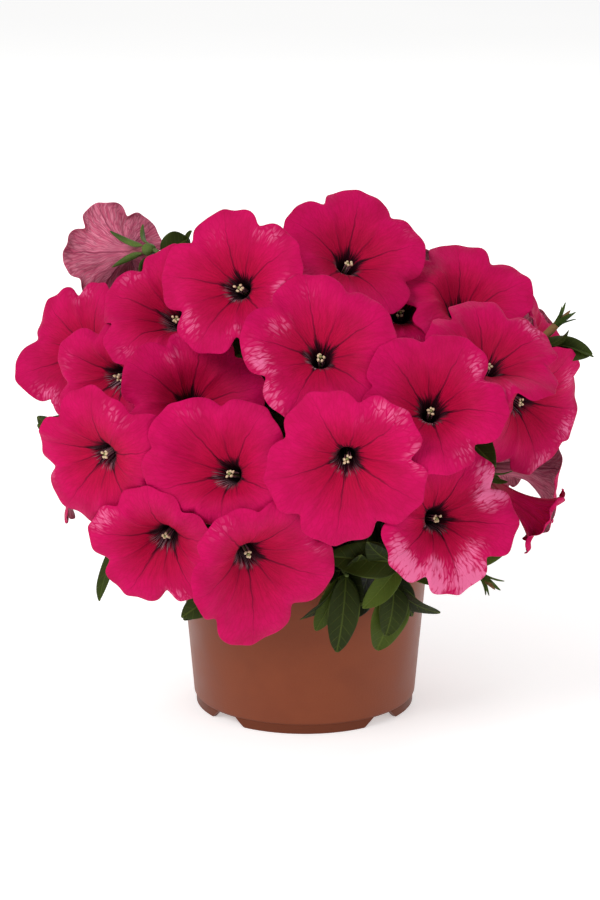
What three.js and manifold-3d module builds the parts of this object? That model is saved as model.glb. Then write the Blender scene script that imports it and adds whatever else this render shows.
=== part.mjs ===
// Potted petunia: a mounded petunia in full bloom in a plain nursery pot.
// Millimetres, +Z up. The origin is on the floor, under the middle of the pot; the front is -Y.
import * as THREE from 'three';
import { mergeVertices } from 'three/addons/utils/BufferGeometryUtils.js';
import Module from 'manifold-3d';

const wasm = await Module();
wasm.setup();

// ---------------------------------------------------------------- driving dimensions

const POT = {
  height: 95,
  seamRadius: 55, // outside of the wall where it meets the feet
  shoulderRadius: 62, // outside of the wall just under the rim
  rimRadius: 65,
  rimHeight: 8,
  wall: 1.5,
  floor: 2,
  footHeight: 5,
  footRadius: 54,
  footWidth: 2.5,
  sides: 36,
};
const NOTCH = { count: 4, topHalfAngle: 6.3, bottomHalfAngle: 12, height: 4.5 };
const DRAIN = { count: 6, radius: 4, ringRadius: 38, sides: 6 };
const SOIL = { top: 82, gap: 0.5, sides: 20, ripple: 1.2 };

const COROLLA = {
  tubeLength: 27,
  tubeRadius: 2.2,
  throatRadius: 5.5,
  throatDepth: 9,
  funnelDepth: 13, // the limb's edge stands this far in front of the throat
  thickness: 0.9,
  gapOver: 0.8, // air between a limb and the one it lies over
};
// Rings of the limb, from the throat to the edge: their places and their numbers of points.
const LIMB_SHARES = [0, 0.36, 0.74, 1];
const LIMB_POINTS = [5, 5, 10, 20];
// How limbs lie over each other: the deepest crossing that is parted, the furthest that a point
// moves, and how alike two blooms must face (cosine) for the lower to give way too.
const LAY = { depth: 24, reach: 16, giveFrom: 0.35, passes: 30, easedPasses: 14 };
const CALYX = { radius: 3.6, inside: 3.2, below: 9, sunk: 5, gap: 0.35 }; // sunk: the stalk in it
const SEPAL = { count: 5, length: 16, spread: 30 };
const SHOOT = { tuft: 0.96 }; // how far along a side shoot its leaves and buds stand
const BUD = { radius: 2.6, sides: 5 };
const STALK = { radius: 1.6, sides: 3, steps: 3, gap: 0.8 };
// A stalk's way from its stem to its end. A pair is a least value and what a draw can add to it.
const WAY = {
  lowest: 112, // an end this high leaves its stem as low as it can
  climb: 50, // an end this much higher leaves it at the top
  first: [0.15, 0.95], // the span of the stem where the first try starts
  widest: [0.05, 0.98], // the span where any try starts
  bend: 0.25, // where along the straight way the first handle stands
  pull: [8, 14], // how far behind its end a stalk comes in line with it
  lift: [4, 12], // how far it arches up
  stray: [4, 26], // how far its first handle strays
  strayAtEnd: 12,
};
const STEM = {
  radius: 2.5,
  taper: 0.85, // its radius above the soil is this share of that at its foot
  sides: 5,
  steps: 3,
  holeDepth: 26,
  holeGap: 0.6,
  straight: 12, // how far it rises straight before it bends
  raised: 0.5, // its foot stands this far above the bottom of its hole
  joined: 1, // how far the bending part starts inside the straight one
  finest: 0.12, // edges shorter than this are merged
};
// rows: how far along the blade its two widest places are, and half its width there, as shares.
const LEAF = {
  rows: [[0.36, 0.46], [0.7, 0.4]],
  thickness: 0.8,
  fold: 0.2,
  curl: 0.12,
  rooted: 0.3, // the share of a blade that may touch the growth it stands on
  gap: 0.5,
  stray: 10, // how far a leaf's tip may move to find room
  upward: 30, // how much its upper face looks up
};
const STALK_LEAVES = {
  shares: [0.5, 0.8], // how far along each flower stalk a leaf stands
  shortest: 26,
  longest: 40,
  widthShare: 0.5,
  stray: 0.9, // how far their directions stray from straight out of the mound
  twist: 0.6, // how far their upper faces turn from straight up
};
const MOUND = { middle: [0, 0, 130], radius: 130 }; // leaves of the flower stalks end inside it
const TRIES = { stalk: 60, leaf: 24 };

const COLOURS = {
  pot: { color: '#86492f', roughness: 0.45 },
  soil: { color: '#2a1f17', roughness: 0.95 },
  petals: { color: '#c4124f', roughness: 0.6 },
  green: { color: '#3f4d20', roughness: 0.6 },
};

// Blooms in the order in which they lie, the lowest first, each given by:
// name; middle of the throat; yaw, its facing in degrees from the front towards +X; rise, its
// facing above the horizontal; roll, the turn of its lobes; reach from throat to lobe tip;
// ruffle, the height of its edge's waves; its stem; each lobe's share of the reach if they differ.
const BLOOM_ROWS = [
  ['bloom_22', [110, 8, 116], 94, -2, 20, 32, 3, 'right'],
  ['bloom_23', [86, 70, 113], 130, 0, 50, 33, 3, 'right_of_back'],
  ['bloom_24', [28, 108, 117], 166, 2, 5, 34, 3, 'back_right'],
  ['bloom_25', [-38, 105, 112], 202, -4, 35, 33, 3, 'back'],
  ['bloom_26', [-92, 62, 116], 238, 2, 60, 33, 3, 'back_left'],
  ['bloom_27', [-106, 12, 116], -88, 0, 25, 29, 3, 'left'],
  ['bloom_28', [104, 42, 168], 112, 20, 15, 32, 3, 'right_of_back'],
  ['bloom_29', [62, 92, 165], 148, 24, 40, 34, 3, 'back_right'],
  ['bloom_30', [-6, 114, 169], 184, 20, 65, 33, 3, 'back'],
  ['bloom_31', [-70, 88, 164], 220, 22, 10, 34, 3, 'back_left'],
  ['bloom_32', [-108, 34, 168], -110, 18, 45, 31, 3, 'left'],
  ['bloom_33', [62, 30, 200], 120, 45, 30, 31, 3, 'right_of_back'],
  ['bloom_34', [20, 68, 198], 168, 48, 0, 33, 3, 'back_right'],
  ['bloom_35', [-36, 62, 198], 215, 46, 25, 32, 3, 'back_left'],
  ['bloom_20', [45, -42, 206], 0, 35, 20, 21, 2, 'top'],
  ['bloom_21', [108, -4, 178], 80, 25, 10, 25, 3, 'right'],
  ['bloom_01', [-88, 10, 224], -150, -14, 10, 26, 3, 'left'],
  ['bloom_15', [-103, -13, 180], -42, 22, 0, 34, 4, 'left'],
  ['bloom_14', [-87, -54, 178], -38, -2, 10, 31, 2, 'front_left', [1, 0.85, 1, 1, 0.68]],
  ['bloom_19', [104, -58, 116], 80, -34, 30, 18, 3, 'front_right'],
  ['bloom_06', [74, -26, 201], 12, 48, 15, 34, 3, 'right'],
  ['bloom_09', [102, -38, 162], 42, -12, 64, 33, 3, 'right'],
  ['bloom_07', [84, -78, 188], 32, 56, 10, 33, 2, 'front_right'],
  ['bloom_03', [-60, -48, 204], -32, 35, 30, 33, 2, 'front_left'],
  ['bloom_36', [2, 16, 214], 190, 72, 20, 30, 3, 'top'],
  ['bloom_04', [20, -36, 228], 20, 42, 0, 35, 2, 'top'],
  ['bloom_13', [-53, -76, 170], 8, 34, 5, 34, 2, 'front_left'],
  ['bloom_02', [-30, -70, 224], -22, 26, 35, 35, 2, 'top'],
  ['bloom_16', [-91, -95, 152], -35, -12, 15, 36, 3, 'front_left', [1, 1, 0.8, 1, 1]],
  ['bloom_05', [7, -98, 198], 0, 38, 30, 36, 2, 'front'],
  ['bloom_11', [60, -102, 123], 25, 12, 62, 35, 2, 'right_of_front'],
  ['bloom_12', [-34, -108, 146], -25, 20, 60, 35, 2, 'left_of_front', [1, 1, 1, 0.68, 1]],
  ['bloom_08', [57, -103, 174], 5, 35, 60, 34, 2, 'right_of_front'],
  ['bloom_17', [-64, -92, 112], -18, -14, 20, 33, 2, 'left_of_front', [1, 1, 1, 1, 0.9]],
  ['bloom_18', [-26, -114, 110], 22, -16, 58, 37, 2, 'left_of_front', [1, 0.9, 0.87, 1.2, 1.05]],
  ['bloom_10', [19, -118, 156], 0, -4, 45, 37, 2, 'front'],
];
const BLOOMS = BLOOM_ROWS.map(([name, at, yaw, rise, roll, reach, ruffle, stem, lobes]) => {
  return { name, at, yaw, rise, roll, reach, ruffle, stem, lobes: lobes ?? [1, 1, 1, 1, 1] };
});

// Stems: where each stands in the soil, and the crown that its flower stalks leave from.
// shoots: side shoots that end in leaves and buds, each leaf and bud given by its tip.
const STEMS = [
  {
    name: 'front',
    foot: [4, -32],
    crown: [5, -42, 134],
    shoots: [{ to: [20, -79, 88], leaves: [[15, -81, 51, 13], [5, -76, 60, 9]], buds: [] }],
  },
  {
    name: 'right_of_front',
    foot: [21, -26],
    crown: [25, -35, 132],
    shoots: [
      { to: [46, -82, 94], leaves: [[10, -86, 100, 15], [27, -85, 74, 10], [67, -82, 85, 11]], buds: [] },
      { to: [43, -74, 82], leaves: [[38, -78, 58, 13], [34, -72, 49, 16]], buds: [] },
    ],
  },
  {
    name: 'front_right',
    foot: [30, -12],
    crown: [36, -24, 134],
    shoots: [{ to: [76, -76, 96], leaves: [[94, -86, 103, 9]], buds: [[89, -88, 84]] }],
  },
  {
    name: 'right',
    foot: [33, 5],
    crown: [42, 0, 136],
    shoots: [
      { to: [112, -32, 188], leaves: [[137, -38, 184, 11], [124, -44, 197, 6]], buds: [[126, -34, 206]] },
    ],
  },
  { name: 'right_of_back', foot: [27, 21], crown: [34, 22, 134], shoots: [] },
  { name: 'back_right', foot: [13, 31], crown: [16, 38, 132], shoots: [] },
  { name: 'back', foot: [-5, 33], crown: [-6, 42, 130], shoots: [] },
  { name: 'back_left', foot: [-22, 26], crown: [-28, 32, 132], shoots: [] },
  {
    name: 'left',
    foot: [-32, 9],
    crown: [-40, 10, 134],
    shoots: [{ to: [-56, -10, 218], leaves: [[-54, -14, 240, 12]], buds: [[-61, -10, 234]] }],
  },
  {
    name: 'front_left',
    foot: [-31, -9],
    crown: [-38, -20, 134],
    shoots: [{ to: [-102, -40, 146], leaves: [[-127, -44, 156, 17]], buds: [] }],
  },
  {
    name: 'left_of_front',
    foot: [-15, -27],
    crown: [-18, -38, 130],
    shoots: [
      { to: [-84, -70, 104], leaves: [[-96, -86, 78, 9]], buds: [] },
      { to: [-34, -77, 84], leaves: [[-57, -81, 67, 11], [-8, -80, 66, 10]], buds: [] },
    ],
  },
  {
    name: 'top',
    foot: [0, 0],
    crown: [2, -4, 150],
    shoots: [{ to: [52, -34, 186], leaves: [], buds: [[58, -42, 204]] }],
  },
];

// ---------------------------------------------------------------- helpers

const radians = THREE.MathUtils.degToRad;

function seededDraws(seed) {
  let state = seed;
  return () => {
    state = (state * 16807) % 2147483647;
    return state / 2147483647;
  };
}

function solidFromArrays(points, faces) {
  const mesh = new wasm.Mesh({
    numProp: 3,
    vertProperties: new Float32Array(points.flatMap((point) => point.toArray())),
    triVerts: new Uint32Array(faces.flat()),
  });
  return new wasm.Manifold(mesh);
}

function solidFromGeometry(geometry) {
  const bare = geometry.clone();
  bare.deleteAttribute('normal');
  bare.deleteAttribute('uv');
  const merged = mergeVertices(bare, 1e-4);
  const mesh = new wasm.Mesh({
    numProp: 3,
    vertProperties: new Float32Array(merged.attributes.position.array),
    triVerts: new Uint32Array(merged.index.array),
  });
  return new wasm.Manifold(mesh);
}

function geometryFromSolid(solid) {
  const mesh = solid.getMesh();
  const geometry = new THREE.BufferGeometry();
  geometry.setAttribute('position', new THREE.BufferAttribute(mesh.vertProperties, mesh.numProp));
  geometry.setIndex(new THREE.BufferAttribute(mesh.triVerts, 1));
  geometry.computeVertexNormals();
  return geometry;
}

// Faces between two rings of a surface that is walked from its front pole to its back pole.
// Rings have the same number of points, or one has twice as many as the other.
function bandFaces(from, to, onBack) {
  const faces = [];
  const few = Math.min(from.length, to.length);
  for (let i = 0; i < few; i += 1) {
    const next = (i + 1) % few;
    if (from.length === to.length && onBack) {
      faces.push([from[i], to[i], from[next]], [from[next], to[i], to[next]]);
    } else if (from.length === to.length) {
      faces.push([from[i], to[i], to[next]], [from[i], to[next], from[next]]);
    } else if (to.length > from.length) {
      const [a, b, c] = [to[2 * i], to[2 * i + 1], to[(2 * i + 2) % to.length]];
      faces.push([from[i], a, b], [from[i], b, from[next]], [from[next], b, c]);
    } else {
      const [a, b, c] = [from[2 * i], from[2 * i + 1], from[(2 * i + 2) % from.length]];
      faces.push([a, to[i], b], [b, to[i], to[next]], [b, to[next], c]);
    }
  }
  return faces;
}

// ---------------------------------------------------------------- pot and soil

// The wall's inside runs straight from the floor up to the rim.
const INSIDE = {
  lowZ: POT.footHeight + POT.floor,
  lowRadius: POT.seamRadius - POT.wall,
  highZ: POT.height - POT.rimHeight,
  highRadius: POT.shoulderRadius - POT.wall,
};

function insideRadius(z) {
  const share = (z - INSIDE.lowZ) / (INSIDE.highZ - INSIDE.lowZ);
  return THREE.MathUtils.lerp(INSIDE.lowRadius, INSIDE.highRadius, share);
}

function makePot() {
  const profile = [
    [0, POT.footHeight],
    [POT.footRadius - POT.footWidth, POT.footHeight],
    [POT.footRadius - POT.footWidth, 0],
    [POT.footRadius, 0],
    [POT.footRadius, POT.footHeight],
    [POT.seamRadius, POT.footHeight],
    [POT.shoulderRadius, POT.height - POT.rimHeight],
    [POT.rimRadius - 0.3, POT.height - POT.rimHeight],
    [POT.rimRadius, POT.height - 0.6],
    [POT.rimRadius - 0.6, POT.height],
    [POT.rimRadius - 1.6, POT.height],
    [INSIDE.highRadius, INSIDE.highZ],
    [INSIDE.lowRadius, INSIDE.lowZ],
    [0, INSIDE.lowZ],
  ];
  const points = profile.map(([radius, z]) => new THREE.Vector2(radius, z));
  const turned = new THREE.LatheGeometry(points, POT.sides);
  turned.rotateX(Math.PI / 2);
  let body = solidFromGeometry(turned);
  const notch = new THREE.Shape();
  const topWidth = POT.footRadius * Math.tan(radians(NOTCH.topHalfAngle));
  const bottomWidth = POT.footRadius * Math.tan(radians(NOTCH.bottomHalfAngle));
  notch.moveTo(-bottomWidth, -0.01);
  notch.lineTo(bottomWidth, -0.01);
  notch.lineTo(topWidth, NOTCH.height);
  notch.lineTo(-topWidth, NOTCH.height);
  notch.closePath();
  for (let i = 0; i < NOTCH.count; i += 1) {
    const cutter = new THREE.ExtrudeGeometry(notch, { depth: 2 * POT.footWidth + 6, bevelEnabled: false });
    cutter.rotateX(Math.PI / 2);
    cutter.translate(0, POT.footRadius + POT.footWidth + 3, 0);
    cutter.rotateZ(radians(45 + (360 / NOTCH.count) * i));
    body = body.subtract(solidFromGeometry(cutter));
  }
  for (let i = 0; i <= DRAIN.count; i += 1) {
    const hole = new THREE.CylinderGeometry(DRAIN.radius, DRAIN.radius, 4 * POT.floor, DRAIN.sides);
    hole.rotateX(Math.PI / 2);
    if (i < DRAIN.count) {
      hole.translate(0, DRAIN.ringRadius, POT.footHeight + POT.floor / 2);
      hole.rotateZ((i * 2 * Math.PI) / DRAIN.count);
    } else {
      hole.translate(0, 0, POT.footHeight + POT.floor / 2);
    }
    body = body.subtract(solidFromGeometry(hole));
  }
  return body;
}

function makeSoil(feet) {
  const bottom = INSIDE.lowZ + SOIL.gap;
  const edge = insideRadius(SOIL.top) - SOIL.gap;
  const profile = [
    [0, bottom],
    [insideRadius(bottom) - SOIL.gap, bottom],
    [edge, SOIL.top - 1],
    [edge * 0.72, SOIL.top],
    [edge * 0.36, SOIL.top + 0.6],
    [0, SOIL.top + 1],
  ];
  const points = profile.map(([radius, z]) => new THREE.Vector2(radius, z));
  const turned = new THREE.LatheGeometry(points, SOIL.sides);
  turned.rotateX(Math.PI / 2);
  const position = turned.attributes.position;
  for (let i = 0; i < position.count; i += 1) {
    const [x, y, z] = [position.getX(i), position.getY(i), position.getZ(i)];
    if (z > SOIL.top - 0.5) {
      position.setZ(i, z + SOIL.ripple * Math.sin(0.21 * x + 1) * Math.cos(0.17 * y));
    }
  }
  let body = solidFromGeometry(turned);
  for (const [x, y] of feet) {
    const radius = STEM.radius + 2 * STEM.holeGap;
    const hole = new THREE.CylinderGeometry(radius, radius, 2 * STEM.holeDepth, STEM.sides);
    hole.rotateX(Math.PI / 2);
    hole.translate(x, y, SOIL.top);
    body = body.subtract(solidFromGeometry(hole));
  }
  return body;
}

// ---------------------------------------------------------------- blooms

function bloomFrame(bloom) {
  const [yaw, rise] = [radians(bloom.yaw), radians(bloom.rise)];
  const out = new THREE.Vector3(
    Math.sin(yaw) * Math.cos(rise),
    -Math.cos(yaw) * Math.cos(rise),
    Math.sin(rise),
  );
  const side = new THREE.Vector3(Math.cos(yaw), Math.sin(yaw), 0);
  const up = new THREE.Vector3().crossVectors(out, side);
  const frame = new THREE.Matrix4().makeBasis(side, up, out);
  return frame.setPosition(new THREE.Vector3(...bloom.at));
}

// The limb's outline at an angle, as a share of its reach: five round lobes, each with a
// short tip at its middle, and a notch between each two.
function limbOutline(bloom, angle) {
  const round = (((angle - bloom.roll) % 360) + 360) % 360;
  const lobe = Math.round(round / 72);
  const turn = round - 72 * lobe;
  const fromMiddle = Math.abs(turn) / 36;
  const own = bloom.lobes[lobe % 5];
  const beside = bloom.lobes[(lobe + Math.sign(turn) + 5) % 5];
  const length = own + (beside - own) * 0.5 * fromMiddle ** 2;
  return length * (0.975 + 0.025 * Math.exp(-((turn / 7) ** 2)) - 0.13 * fromMiddle ** 5);
}

// Height of the limb's front face in front of the throat, before it lies over others.
function limbHeight(bloom, draws, share, angle) {
  const turn = radians(angle - bloom.roll);
  const wave =
    0.5 * Math.cos(5 * turn + 2.2 * draws[0]) +
    0.6 * Math.cos(2 * turn + 6.3 * draws[1]) +
    0.5 * Math.cos(3 * turn + 6.3 * draws[2]);
  const rise = COROLLA.funnelDepth * (1 - (1 - share) ** 2.2) - 1.5 * share ** 3;
  return rise + bloom.ruffle * wave * share ** 2;
}

function bloomDraws(index) {
  const draw = seededDraws(1000 + 37 * index);
  draw();
  return [draw(), draw(), draw()];
}

// The limb as rings of points in the bloom's own frame: throat, two inner rings and the edge.
function limbRings(bloom, index) {
  const draws = bloomDraws(index);
  const rings = [];
  for (const share of LIMB_SHARES) {
    const count = LIMB_POINTS[rings.length];
    const ring = [];
    for (let i = 0; i < count; i += 1) {
      const angle = bloom.roll + (360 / count) * i;
      const edge = bloom.reach * limbOutline(bloom, angle);
      const radius = COROLLA.throatRadius + (edge - COROLLA.throatRadius) * share;
      const x = radius * Math.cos(radians(angle));
      const y = radius * Math.sin(radians(angle));
      ring.push(new THREE.Vector3(x, y, limbHeight(bloom, draws, share, angle)));
    }
    rings.push(ring);
  }
  return rings;
}

function ringIndices(rings) {
  let start = 0;
  return rings.map((ring) => {
    const indices = ring.map((point, i) => start + i);
    start += ring.length;
    return indices;
  });
}

// Weights of a, b and c at a point of the plane, or null where it is outside the triangle.
function weightsInside(x, y, a, b, c) {
  const area = (b.x - a.x) * (c.y - a.y) - (c.x - a.x) * (b.y - a.y);
  if (Math.abs(area) < 1e-6) {
    return null;
  }
  const second = ((x - a.x) * (c.y - a.y) - (c.x - a.x) * (y - a.y)) / area;
  const third = ((b.x - a.x) * (y - a.y) - (x - a.x) * (b.y - a.y)) / area;
  const first = 1 - second - third;
  return first < 0 || second < 0 || third < 0 ? null : [first, second, third];
}

// Points of the plane where two triangles cover each other: corners inside and crossed edges.
function sharedPoints(mine, other) {
  const points = [];
  for (const corner of other) {
    points.push([corner.x, corner.y]);
  }
  for (const corner of mine) {
    points.push([corner.x, corner.y]);
  }
  for (let i = 0; i < 3; i += 1) {
    for (let j = 0; j < 3; j += 1) {
      const [a, b, c, d] = [mine[i], mine[(i + 1) % 3], other[j], other[(j + 1) % 3]];
      const cross = (b.x - a.x) * (d.y - c.y) - (b.y - a.y) * (d.x - c.x);
      if (Math.abs(cross) > 1e-9) {
        const along = ((c.x - a.x) * (d.y - c.y) - (c.y - a.y) * (d.x - c.x)) / cross;
        const across = ((c.x - a.x) * (b.y - a.y) - (c.y - a.y) * (b.x - a.x)) / cross;
        if (along > 0 && along < 1 && across > 0 && across < 1) {
          points.push([a.x + along * (b.x - a.x), a.y + along * (b.y - a.y)]);
        }
      }
    }
  }
  return points;
}

// Parts two faces that reach through each other: the upper goes forward and the lower back,
// each along its own bloom's axis. All heights are in the upper bloom's frame.
function partFaces(upper, lower, shared) {
  for (const [x, y] of sharedPoints(upper.at, lower.at)) {
    const mine = weightsInside(x, y, ...upper.at);
    const theirs = weightsInside(x, y, ...lower.at);
    if (mine && theirs) {
      const height = mine.reduce((sum, weight, i) => sum + weight * upper.at[i].z, 0);
      const seat = theirs.reduce((sum, weight, i) => sum + weight * lower.at[i].z, 0);
      const push = seat + COROLLA.gapOver + COROLLA.thickness - height;
      if (push > 0 && push < LAY.depth) {
        const giving = shared > LAY.giveFrom;
        moveFace(upper, mine, giving ? push / 2 : push);
        if (giving) {
          moveFace(lower, theirs, -push / 2 / shared);
        }
      }
    }
  }
}

// Moves a face along its bloom's axis by so much at the weighted point, as little as can be.
function moveFace(face, weights, move) {
  const free = weights.map((weight, i) => (face.points[i].held ? 0 : weight));
  const total = free.reduce((sum, weight) => sum + weight * weight, 0);
  if (total < 0.02) {
    return;
  }
  face.points.forEach((point, i) => {
    const moved = point.z + (move * free[i]) / total;
    const step = THREE.MathUtils.clamp(moved, point.rest - LAY.reach, point.rest + LAY.reach) - point.z;
    point.z += step;
    face.at[i].addScaledVector(face.axis, step);
  });
}

function spanOf(corners) {
  return new THREE.Box2().setFromPoints(corners);
}

function partLimbs(upper, lower) {
  const toUpper = upper.frame.clone().invert().multiply(lower.frame);
  const axis = new THREE.Vector3(0, 0, 1).transformDirection(toUpper);
  const moved = new Map(lower.points.map((point) => [point, point.clone().applyMatrix4(toUpper)]));
  const lowerFaces = lower.faces.map((points) => {
    const at = points.map((point) => moved.get(point));
    return { points, at, axis, span: spanOf(at) };
  });
  for (const points of upper.faces) {
    const face = { points, at: points.map((point) => point.clone()), axis: new THREE.Vector3(0, 0, 1) };
    const span = spanOf(points);
    for (const other of lowerFaces) {
      if (span.intersectsBox(other.span)) {
        partFaces(face, other, axis.z);
      }
    }
  }
}

// Spreads each moved point's shift over its neighbours in the ring and the ring inside it.
function easeLimb(rings) {
  for (let k = rings.length - 1; k > 0; k -= 1) {
    const ring = rings[k];
    const shifts = ring.map((point) => point.z - point.rest);
    ring.forEach((point, i) => {
      const beside = shifts[(i + 1) % shifts.length] + shifts[(i + shifts.length - 1) % shifts.length];
      point.z = point.rest + 0.6 * shifts[i] + 0.2 * beside;
    });
    if (k > 1) {
      const inner = rings[k - 1];
      const step = ring.length / inner.length;
      inner.forEach((point, i) => {
        const outside = ring[i * step].z - ring[i * step].rest;
        const own = point.z - point.rest;
        point.z = point.rest + 0.7 * own + 0.3 * 0.6 * outside;
      });
    }
  }
}

// Lays the limbs over each other in the order of the list, by bending them clear.
function layLimbs(limbs) {
  const pairs = [];
  for (let j = 1; j < limbs.length; j += 1) {
    for (let i = 0; i < j; i += 1) {
      const reach = limbs[j].reach + limbs[i].reach + LAY.reach;
      if (limbs[j].middle.distanceTo(limbs[i].middle) < reach) {
        pairs.push([limbs[j], limbs[i]]);
      }
    }
  }
  for (let pass = 0; pass < LAY.passes; pass += 1) {
    for (const [upper, lower] of pairs) {
      partLimbs(upper, lower);
    }
    if (pass < LAY.easedPasses) {
      limbs.forEach((limb) => easeLimb(limb.rings));
    }
  }
}

function makeLimb(bloom, index) {
  const frame = bloomFrame(bloom);
  const rings = limbRings(bloom, index);
  const points = rings.flat();
  points.forEach((point, i) => {
    point.rest = point.z;
    point.held = i < rings[0].length;
  });
  const indices = ringIndices(rings);
  const faces = [];
  for (let i = 0; i + 1 < indices.length; i += 1) {
    faces.push(...bandFaces(indices[i], indices[i + 1], false));
  }
  const middle = new THREE.Vector3(0, 0, COROLLA.funnelDepth).applyMatrix4(frame);
  return {
    frame,
    rings,
    points,
    middle,
    reach: bloom.reach,
    faces: faces.map((face) => face.map((i) => points[i])),
  };
}

function roundRing(radius, z, roll, count = 5) {
  const ring = [];
  for (let i = 0; i < count; i += 1) {
    const angle = radians(roll + (360 / count) * i);
    ring.push(new THREE.Vector3(radius * Math.cos(angle), radius * Math.sin(angle), z));
  }
  return ring;
}

// A closed body from rings that are walked from its front pole to its back pole.
function shellFromRings(rings, firstBackBand) {
  const indices = ringIndices(rings);
  const faces = [];
  for (let i = 1; i + 2 < rings.length; i += 1) {
    faces.push(...bandFaces(indices[i], indices[i + 1], i >= firstBackBand));
  }
  const [frontRing, backRing] = [indices[1], indices[rings.length - 2]];
  const [frontPole, backPole] = [indices[0][0], indices[rings.length - 1][0]];
  frontRing.forEach((a, i) => faces.push([frontPole, a, frontRing[(i + 1) % frontRing.length]]));
  backRing.forEach((a, i) => faces.push([backPole, backRing[(i + 1) % backRing.length], a]));
  return solidFromArrays(rings.flat(), faces);
}

function makeBloom(bloom, limb) {
  const { frame, rings: front } = limb;
  const { thickness, throatRadius, throatDepth, tubeRadius, tubeLength } = COROLLA;
  const back = front.slice(1).reverse().map((ring) => ring.map((point) => {
    const lower = point.clone();
    lower.z -= thickness;
    return lower;
  }));
  const corolla = shellFromRings([
    [new THREE.Vector3(0, 0, -throatDepth)],
    roundRing(throatRadius - 2, -throatDepth, bloom.roll),
    ...front,
    ...back,
    roundRing(throatRadius + thickness, -1.6, bloom.roll),
    roundRing(tubeRadius, -tubeLength, bloom.roll),
    [new THREE.Vector3(0, 0, -tubeLength)],
  ], 2 + front.length);
  const club = new THREE.CylinderGeometry(2, 0.8, throatDepth + 1.5, 3);
  club.rotateX(Math.PI / 2);
  club.translate(0, 0, -throatDepth / 2);
  return corolla.add(solidFromGeometry(club)).transform(frame.elements);
}

// ---------------------------------------------------------------- leafy stems

function tubeAlong(curve, radius, sides, steps) {
  const section = new THREE.Shape();
  for (let i = 0; i < sides; i += 1) {
    const angle = (2 * Math.PI * i) / sides;
    const [x, y] = [radius * Math.cos(angle), radius * Math.sin(angle)];
    if (i === 0) {
      section.moveTo(x, y);
    } else {
      section.lineTo(x, y);
    }
  }
  section.closePath();
  return solidFromGeometry(new THREE.ExtrudeGeometry(section, { steps, extrudePath: curve }));
}

// A point on the axis of a flower stalk's tube, which runs straight from step to step.
function onStalk(path, share) {
  const place = share * STALK.steps;
  const step = Math.floor(place);
  const [from, to] = [step, step + 1].map((each) => path.getPointAt(each / STALK.steps));
  return from.lerp(to, place - step);
}

// A frame that looks along a direction, with its own Z as near to the hint as can be.
function frameAlong(origin, direction, hint) {
  const along = direction.clone().normalize();
  const across = new THREE.Vector3().crossVectors(along, hint).normalize();
  const face = new THREE.Vector3().crossVectors(across, along);
  return new THREE.Matrix4().makeBasis(across, along, face).setPosition(origin);
}

// A leaf blade from its base to its tip: folded a little along its midrib and curled down.
function makeLeaf(base, tip, width, hint) {
  const length = base.distanceTo(tip);
  const top = [new THREE.Vector3(0, 0, 0)];
  for (const [share, halfShare] of LEAF.rows) {
    const half = halfShare * width;
    for (const side of [-1, 0, 1]) {
      const height = LEAF.fold * half * Math.abs(side) + LEAF.curl * length * 4 * share * (1 - share);
      top.push(new THREE.Vector3(side * half, share * length, height));
    }
  }
  top.push(new THREE.Vector3(0, length, 0));
  const count = top.length;
  const under = top.map((point) => new THREE.Vector3(point.x, point.y, point.z - LEAF.thickness));
  const upper = [[0, 2, 1], [0, 3, 2], [1, 2, 5], [1, 5, 4], [2, 3, 6], [2, 6, 5], [4, 5, 7], [5, 6, 7]];
  const faces = [...upper, ...upper.map(([i, j, k]) => [i + count, k + count, j + count])];
  const edge = [0, 3, 6, 7, 4, 1];
  edge.forEach((a, i) => {
    const next = edge[(i + 1) % edge.length];
    faces.push([a, a + count, next + count], [a, next + count, next]);
  });
  const frame = frameAlong(base, tip.clone().sub(base), hint);
  return solidFromArrays([...top, ...under], faces).transform(frame.elements);
}

// The calyx: a short green top that the corolla's tube sits on, with five sepals round it.
function makeCalyx(frame, roll) {
  const top = -COROLLA.tubeLength - CALYX.gap;
  const half = 180 / SEPAL.count;
  const between = roundRing(CALYX.radius, top, roll);
  const inside = roundRing(CALYX.inside, top, roll + half);
  const spread = SEPAL.length * Math.sin(radians(SEPAL.spread));
  const rise = SEPAL.length * Math.cos(radians(SEPAL.spread));
  const tips = roundRing(CALYX.radius + spread, top + rise, roll + half);
  const points = [
    new THREE.Vector3(0, 0, top),
    new THREE.Vector3(0, 0, top - CALYX.below),
    ...between,
    ...inside,
    ...tips,
  ];
  const faces = [];
  for (let i = 0; i < SEPAL.count; i += 1) {
    const [left, right] = [2 + i, 2 + ((i + 1) % SEPAL.count)];
    const [foot, tip] = [2 + SEPAL.count + i, 2 + 2 * SEPAL.count + i];
    faces.push([0, left, foot], [0, foot, right], [foot, left, tip], [foot, tip, right]);
    faces.push([1, tip, left], [1, right, tip]);
  }
  return solidFromArrays(points, faces).transform(frame.elements);
}

function makeBud(base, tip) {
  const direction = tip.clone().sub(base);
  const frame = frameAlong(base, direction, new THREE.Vector3(0, 0, 1));
  const bud = new THREE.SphereGeometry(BUD.radius, BUD.sides, 3);
  bud.scale(1, direction.length() / BUD.radius / 2, 1);
  bud.translate(0, direction.length() / 2, 0);
  return solidFromGeometry(bud).transform(frame.elements);
}

function boxesMeet(a, b, gap) {
  return [0, 1, 2].every((k) => a.min[k] - gap < b.max[k] && b.min[k] - gap < a.max[k]);
}

// How far a solid is from the nearest of the others, up to the gap that is asked for.
function clearance(solid, others, gap) {
  const box = solid.boundingBox();
  let least = gap;
  for (const other of others) {
    if (boxesMeet(box, other.box, gap)) {
      least = Math.min(least, solid.minGap(other.solid, gap));
      if (least <= 0) {
        return 0;
      }
    }
  }
  return least;
}

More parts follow.
